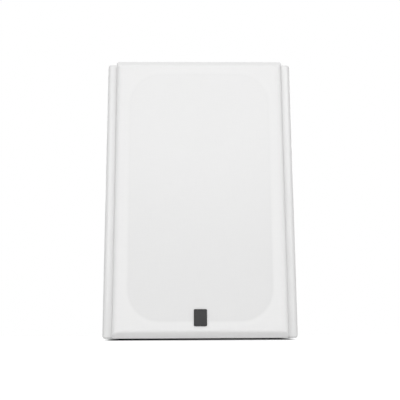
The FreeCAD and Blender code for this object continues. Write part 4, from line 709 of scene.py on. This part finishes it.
def round_corners(near_x, near_z):
    """Insets from the two nearest edges, moved so that each ring of points has a rounded corner."""
    ring = np.minimum(near_x, near_z)
    radius = np.maximum(CORNER_ROUND - ring, TINY)
    along = np.maximum(near_x, near_z) - ring
    turn = math.pi / 4 * (1 - along / radius)
    bent = along < radius
    low = np.where(bent, ring + radius * (1 - np.cos(turn)), ring)
    high = np.where(bent, ring + radius * (1 - np.sin(turn)), np.maximum(near_x, near_z))
    return np.where(near_x <= near_z, low, high), np.where(near_x <= near_z, high, low)


def bend_fall(inset, start, radius):
    """How far a bend of a radius has fallen from the face, by the distance from the outside."""
    short = np.clip(start - inset, 0, radius)
    return radius - np.sqrt(radius ** 2 - short ** 2)


def inside_opening(x, z):
    """Signed distance to the frame's opening, below 0 inside it."""
    beyond_x = np.abs(x) - (HALF_WIDTH - SIDE_MARGIN - OPENING_ROUND)
    beyond_z = np.abs(z) - (HALF_HEIGHT - END_MARGIN - OPENING_ROUND)
    outer = np.hypot(np.maximum(beyond_x, 0), np.maximum(beyond_z, 0))
    return outer + np.minimum(np.maximum(beyond_x, beyond_z), 0) - OPENING_ROUND


across, upright = np.meshgrid(insets(HALF_WIDTH, side_rows, EDGE_REACH),
                              insets(HALF_HEIGHT, end_rows, BEND_START), indexing="ij")
near_x, near_z = round_corners(np.minimum(across, 2 * HALF_WIDTH - across),
                               np.minimum(upright, 2 * HALF_HEIGHT - upright))
cloth_x = np.where(across < HALF_WIDTH, near_x - HALF_WIDTH, HALF_WIDTH - near_x)
cloth_z = np.where(upright < HALF_HEIGHT, near_z - HALF_HEIGHT, HALF_HEIGHT - near_z)
chord = HALF_WIDTH - EDGE_REACH
side_drop = np.where(near_x < EDGE_REACH,
                     CROWN + bend_fall(near_x, EDGE_REACH, EDGE_REACH) * EDGE_ROUND / EDGE_REACH,
                     CROWN * (cloth_x / chord) ** 2)
end_drop = np.where(near_z < BEVEL_END, END_BEVEL - near_z, bend_fall(near_z, BEND_START, END_BEND))
mitre = np.clip(0.5 + 0.5 * (side_drop - end_drop) / MITRE_SOFTNESS, 0, 1)
drop = end_drop * (1 - mitre) + side_drop * mitre + MITRE_SOFTNESS * mitre * (1 - mitre)

# The frame carries the cloth under the badge; the rest of the opening's cloth settles between its edges
badge_low, badge_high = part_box("badge")
under_badge = ((np.abs(cloth_x) < badge_high.x) & (cloth_z + CLOTH_MIDDLE > badge_low.z)
               & (cloth_z + CLOTH_MIDDLE < badge_high.z))
free = (inside_opening(cloth_x, cloth_z) < 0) & ~under_badge
for _ in range(RELAXATIONS):
    average = (np.roll(drop, 1, 0) + np.roll(drop, -1, 0) + np.roll(drop, 1, 1) + np.roll(drop, -1, 1)) / 4
    drop = np.where(free, average, drop)

columns, rows = drop.shape
cloth_points = [Vector((x, CREST_Y + d, z + CLOTH_MIDDLE))
                for x, d, z in zip(cloth_x.ravel(), drop.ravel(), cloth_z.ravel())]
thread_places = list(zip(across.ravel(), upright.ravel()))
cloth_faces = [(i * rows + j, (i + 1) * rows + j, (i + 1) * rows + j + 1, i * rows + j + 1)
               for i in range(columns - 1) for j in range(rows - 1)]
rim = ([i * rows for i in range(columns)] + [(columns - 1) * rows + j for j in range(1, rows)]
       + [i * rows + rows - 1 for i in range(columns - 2, -1, -1)] + list(range(rows - 2, 0, -1)))


def way_out(x, z):
    """The way straight out of the grille's rounded outline, from a place on it."""
    core_x, core_z = HALF_WIDTH - CORNER_ROUND, HALF_HEIGHT - CORNER_ROUND
    return Vector((x - min(max(x, -core_x), core_x), 0, z - min(max(z, -core_z), core_z))).normalized()


loop_before = rim
for share, tucked in SKIRT_ROWS:
    loop = []
    for start in rim:
        point = cloth_points[start].copy()
        outward = way_out(point.x, point.z - CLOTH_MIDDLE)
        point.y += (CLOTH_BACK_Y - point.y) * share
        point -= outward * tucked
        down = (point - cloth_points[start]).length
        loop.append(len(cloth_points))
        cloth_points.append(point)
        thread_places.append((thread_places[start][0] + outward.x * down,
                              thread_places[start][1] + outward.z * down))
    cloth_faces += band_between(loop_before, loop)
    loop_before = loop

cloth_mesh = bpy.data.meshes.new("cloth_sheet")
cloth_mesh.from_pydata(cloth_points, [], cloth_faces)
threads = cloth_mesh.uv_layers.new(name="threads")
for corner in cloth_mesh.loops:
    threads.data[corner.index].uv = thread_places[corner.vertex_index]
cloth_mesh.polygons.foreach_set("use_smooth", [True] * len(cloth_mesh.polygons))
cloth = bpy.data.objects.new("cloth_sheet", cloth_mesh)
scene.collection.objects.link(cloth)

# Plain weave: threads over and under each other, from the cloth's own two directions, some a little thicker
SLUBS_ACROSS, SLUBS_ALONG = 900.0, 60.0
weave_group, weave_in, weave_out = new_group("plain_weave", {"Thread": 0.0006}, ("Relief", "Slubs"))
weave_spot = add_node(weave_group, "ShaderNodeUVMap", uv_map="threads").outputs[0]
weave_axes = add_node(weave_group, "ShaderNodeSeparateXYZ", {"Vector": weave_spot})


def thread_wave(axis):
    """A sine along one direction of the cloth, one wave to two threads."""
    turns = math_node(weave_group, "DIVIDE", weave_axes.outputs[axis], weave_in.outputs["Thread"])
    return math_node(weave_group, "SINE", math_node(weave_group, "MULTIPLY", turns, math.pi))


def thread_slubs(*counts):
    """Thick and thin places in the threads of one direction."""
    lie = add_node(weave_group, "ShaderNodeVectorMath", {0: weave_spot, 1: (*counts, 1.0)},
                   operation="MULTIPLY")
    return add_node(weave_group, "ShaderNodeTexNoise",
                    {"Vector": lie.outputs[0], "Scale": 1.0, "Detail": 1.0}).outputs[0]


crossing = math_node(weave_group, "MULTIPLY", thread_wave("X"), thread_wave("Y"))
relief = add_node(weave_group, "ShaderNodeMapRange", {"Value": crossing, "From Min": -1.0})
weave_group.links.new(relief.outputs[0], weave_out.inputs["Relief"])
both_slubs = math_node(weave_group, "ADD", thread_slubs(SLUBS_ACROSS, SLUBS_ALONG),
                       thread_slubs(SLUBS_ALONG, SLUBS_ACROSS))
weave_group.links.new(math_node(weave_group, "MULTIPLY", both_slubs, 0.5), weave_out.inputs["Slubs"])

# The cloth is greyer over the opening, partly for the dark room behind it and partly by painted shade that
# deepens towards the foot.
# Along the opening's edge a painted highlight lies just outside and a thin line of painted shade just inside,
# and a faint darker disc lies over the tweeter's faceplate
CLOTH_DARK, CLOTH_LIGHT = (0.839, 0.838, 0.837), (0.869, 0.868, 0.867)
SHADE_HIGH, SHADE_LOW = 0.989, 0.938
SHADE_HEIGHTS = (0.235, 0.05)
OPENING_EDGE = (-0.0005, 0.0035)
RIM_LIFT, LINE_SHADE, LINE_HALF = 1.006, 0.990, 0.0022
PLATE_SHADE, PLATE_RADIUS, PLATE_BLUR = 0.996, 0.0445, 0.004
THREAD_RELIEF, RELIEF_STRENGTH = 0.00006, 0.6
cloth_white, tree, surface = new_material("grille_cloth_white")
weave = add_node(tree, "ShaderNodeGroup", node_tree=weave_group)
spot = add_node(tree, "ShaderNodeTexCoord").outputs["Object"]
axes = add_node(tree, "ShaderNodeSeparateXYZ", {"Vector": spot})
spot_x, spot_z = axes.outputs["X"], axes.outputs["Z"]


def beyond(source, middle, half):
    """How far a coordinate lies past half a width from the middle, and 0 within it."""
    away = math_node(tree, "ABSOLUTE", math_node(tree, "SUBTRACT", source, middle))
    return math_node(tree, "MAXIMUM", math_node(tree, "SUBTRACT", away, half), 0.0)


def root_of_squares(first, second):
    """The length of a step along two directions."""
    squares = math_node(tree, "MULTIPLY", first, first)
    return math_node(tree, "SQRT", math_node(tree, "MULTIPLY_ADD", second, second, squares))


def band(source, middle, half):
    """1 at the middle of a band, falling to 0 at both its sides."""
    return math_node(tree, "MULTIPLY", eased(tree, source, middle - half, middle),
                     eased(tree, source, middle + half, middle))


corner_reach = root_of_squares(beyond(spot_x, 0.0, HALF_WIDTH - SIDE_MARGIN - OPENING_ROUND),
                               beyond(spot_z, CLOTH_MIDDLE, HALF_HEIGHT - END_MARGIN - OPENING_ROUND))
from_edge = math_node(tree, "SUBTRACT", OPENING_ROUND, corner_reach)
over_opening = eased(tree, from_edge, *OPENING_EDGE)
from_tweeter = root_of_squares(spot_x, math_node(tree, "SUBTRACT", spot_z, TWEETER_Z))
over_plate = eased(tree, from_tweeter, PLATE_RADIUS + PLATE_BLUR, PLATE_RADIUS - PLATE_BLUR)
# Over the opening the cloth greys for the dark room behind it, and painted shade makes it darker towards the
# foot.
opening_grey_and_painted_shade = spread(tree, eased(tree, spot_z, *SHADE_HEIGHTS), SHADE_HIGH, SHADE_LOW)
opening_change = math_node(tree, "SUBTRACT", opening_grey_and_painted_shade, 1.0)
opening_shade = math_node(tree, "MULTIPLY_ADD", over_opening, opening_change, 1.0)
plate_shade = spread(tree, over_plate, 1.0, PLATE_SHADE)
# Painted highlight: a thin lighter rim just outside the opening's edge.
painted_rim_highlight = spread(tree, band(from_edge, -LINE_HALF, LINE_HALF), 1.0, RIM_LIFT)
# Painted shade: a thin darker line just inside the opening's edge.
painted_edge_shade = spread(tree, band(from_edge, LINE_HALF, LINE_HALF), 1.0, LINE_SHADE)
shade = math_node(tree, "MULTIPLY", math_node(tree, "MULTIPLY", opening_shade, plate_shade),
                  math_node(tree, "MULTIPLY", painted_rim_highlight, painted_edge_shade))
thread_colour = shade_between(tree, weave.outputs["Slubs"], CLOTH_DARK, CLOTH_LIGHT)
shaded = add_node(tree, "ShaderNodeVectorMath", {0: thread_colour, "Scale": shade}, operation="SCALE")
tree.links.new(shaded.outputs[0], surface.inputs["Base Color"])
bump = add_node(tree, "ShaderNodeBump", {"Height": weave.outputs["Relief"], "Distance": THREAD_RELIEF,
                                         "Strength": RELIEF_STRENGTH})
tree.links.new(bump.outputs[0], surface.inputs["Normal"])
surface.inputs["Roughness"].default_value = 0.9
surface.inputs["Specular IOR Level"].default_value = 0.2
surface.inputs["Sheen Weight"].default_value = 0.1
surface.inputs["Sheen Roughness"].default_value = 0.5
cloth_mesh.materials.append(cloth_white)
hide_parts("grille_cloth")
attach(cloth, "grille")

# Badge: a small charcoal metal plate, bare, with a finely brushed face inside a narrow raised rim.
# It is stuck on the cloth where the frame backs it. Its rings give the inset and the height over its back.
BADGE_ROUND, BADGE_LEAST_ROUND = 0.0012, 0.0002
BADGE_RINGS = ((0, 0), (0, 0.00070), (0.00008, 0.00090), (0.00028, 0.001), (0.00060, 0.001),
               (0.00080, 0.00082))
CORNER_STEPS = 8
BADGE_CORNERS = ((1, 1), (-1, 1), (-1, -1), (1, -1))
badge_half_x, badge_half_z = badge_high.x, (badge_high.z - badge_low.z) / 2
badge_middle = (badge_low.z + badge_high.z) / 2
badge_form = bmesh.new()
badge_rings = []
for inset, rise in BADGE_RINGS:
    radius = max(BADGE_ROUND - inset, BADGE_LEAST_ROUND)
    ring = []
    for corner, (side_x, side_z) in enumerate(BADGE_CORNERS):
        for step in range(CORNER_STEPS + 1):
            turn = math.pi / 2 * (corner + step / CORNER_STEPS)
            x = side_x * (badge_half_x - inset - radius) + radius * math.cos(turn)
            z = badge_middle + side_z * (badge_half_z - inset - radius) + radius * math.sin(turn)
            ring.append(badge_form.verts.new((x, badge_high.y - rise, z)))
    badge_rings.append(ring)
for lower, upper in zip(badge_rings, badge_rings[1:]):
    for corners in band_between(lower, upper):
        badge_form.faces.new(corners)
badge_form.faces.new(badge_rings[0])
badge_form.faces.new(badge_rings[-1])
bmesh.ops.recalc_face_normals(badge_form, faces=badge_form.faces)

# Brushing: fine lines upright on the face, close together across it and drawn out along it
brushed_group, brushed_in, brushed_out = new_group("brushed_lines", {"Lines": 4000.0, "Length": 40.0},
                                                   ("Relief",))
brushed_spot = add_node(brushed_group, "ShaderNodeTexCoord").outputs["Object"]
brushed_axes = add_node(brushed_group, "ShaderNodeSeparateXYZ", {"Vector": brushed_spot})
brushed_x = math_node(brushed_group, "MULTIPLY", brushed_axes.outputs["X"], brushed_in.outputs["Lines"])
brushed_z = math_node(brushed_group, "MULTIPLY", brushed_axes.outputs["Z"], brushed_in.outputs["Length"])
brushed_lie = add_node(brushed_group, "ShaderNodeCombineXYZ", {"X": brushed_x, "Z": brushed_z})
brushed_noise = add_node(brushed_group, "ShaderNodeTexNoise",
                         {"Vector": brushed_lie.outputs[0], "Scale": 1.0})
brushed_group.links.new(brushed_noise.outputs[0], brushed_out.inputs["Relief"])

BADGE_DARK, BADGE_LIGHT = (0.013, 0.013, 0.014), (0.029, 0.029, 0.030)
BADGE_ROUGHNESS, BRUSHED_RELIEF = (0.34, 0.5), 0.00001
badge_metal, tree, surface = new_material("badge_metal")
lines = add_node(tree, "ShaderNodeGroup", node_tree=brushed_group).outputs["Relief"]
tree.links.new(shade_between(tree, lines, BADGE_DARK, BADGE_LIGHT), surface.inputs["Base Color"])
tree.links.new(spread(tree, lines, *BADGE_ROUGHNESS), surface.inputs["Roughness"])
bump = add_node(tree, "ShaderNodeBump", {"Height": lines, "Distance": BRUSHED_RELIEF})
tree.links.new(bump.outputs[0], surface.inputs["Normal"])
surface.inputs["Specular IOR Level"].default_value = 0.32
badge_plate = add_piece(mesh_from(badge_form, "badge_plate", sharp_angle=20.0), badge_metal,
                        "badge_metal", "badge")
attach(badge_plate, "grille")
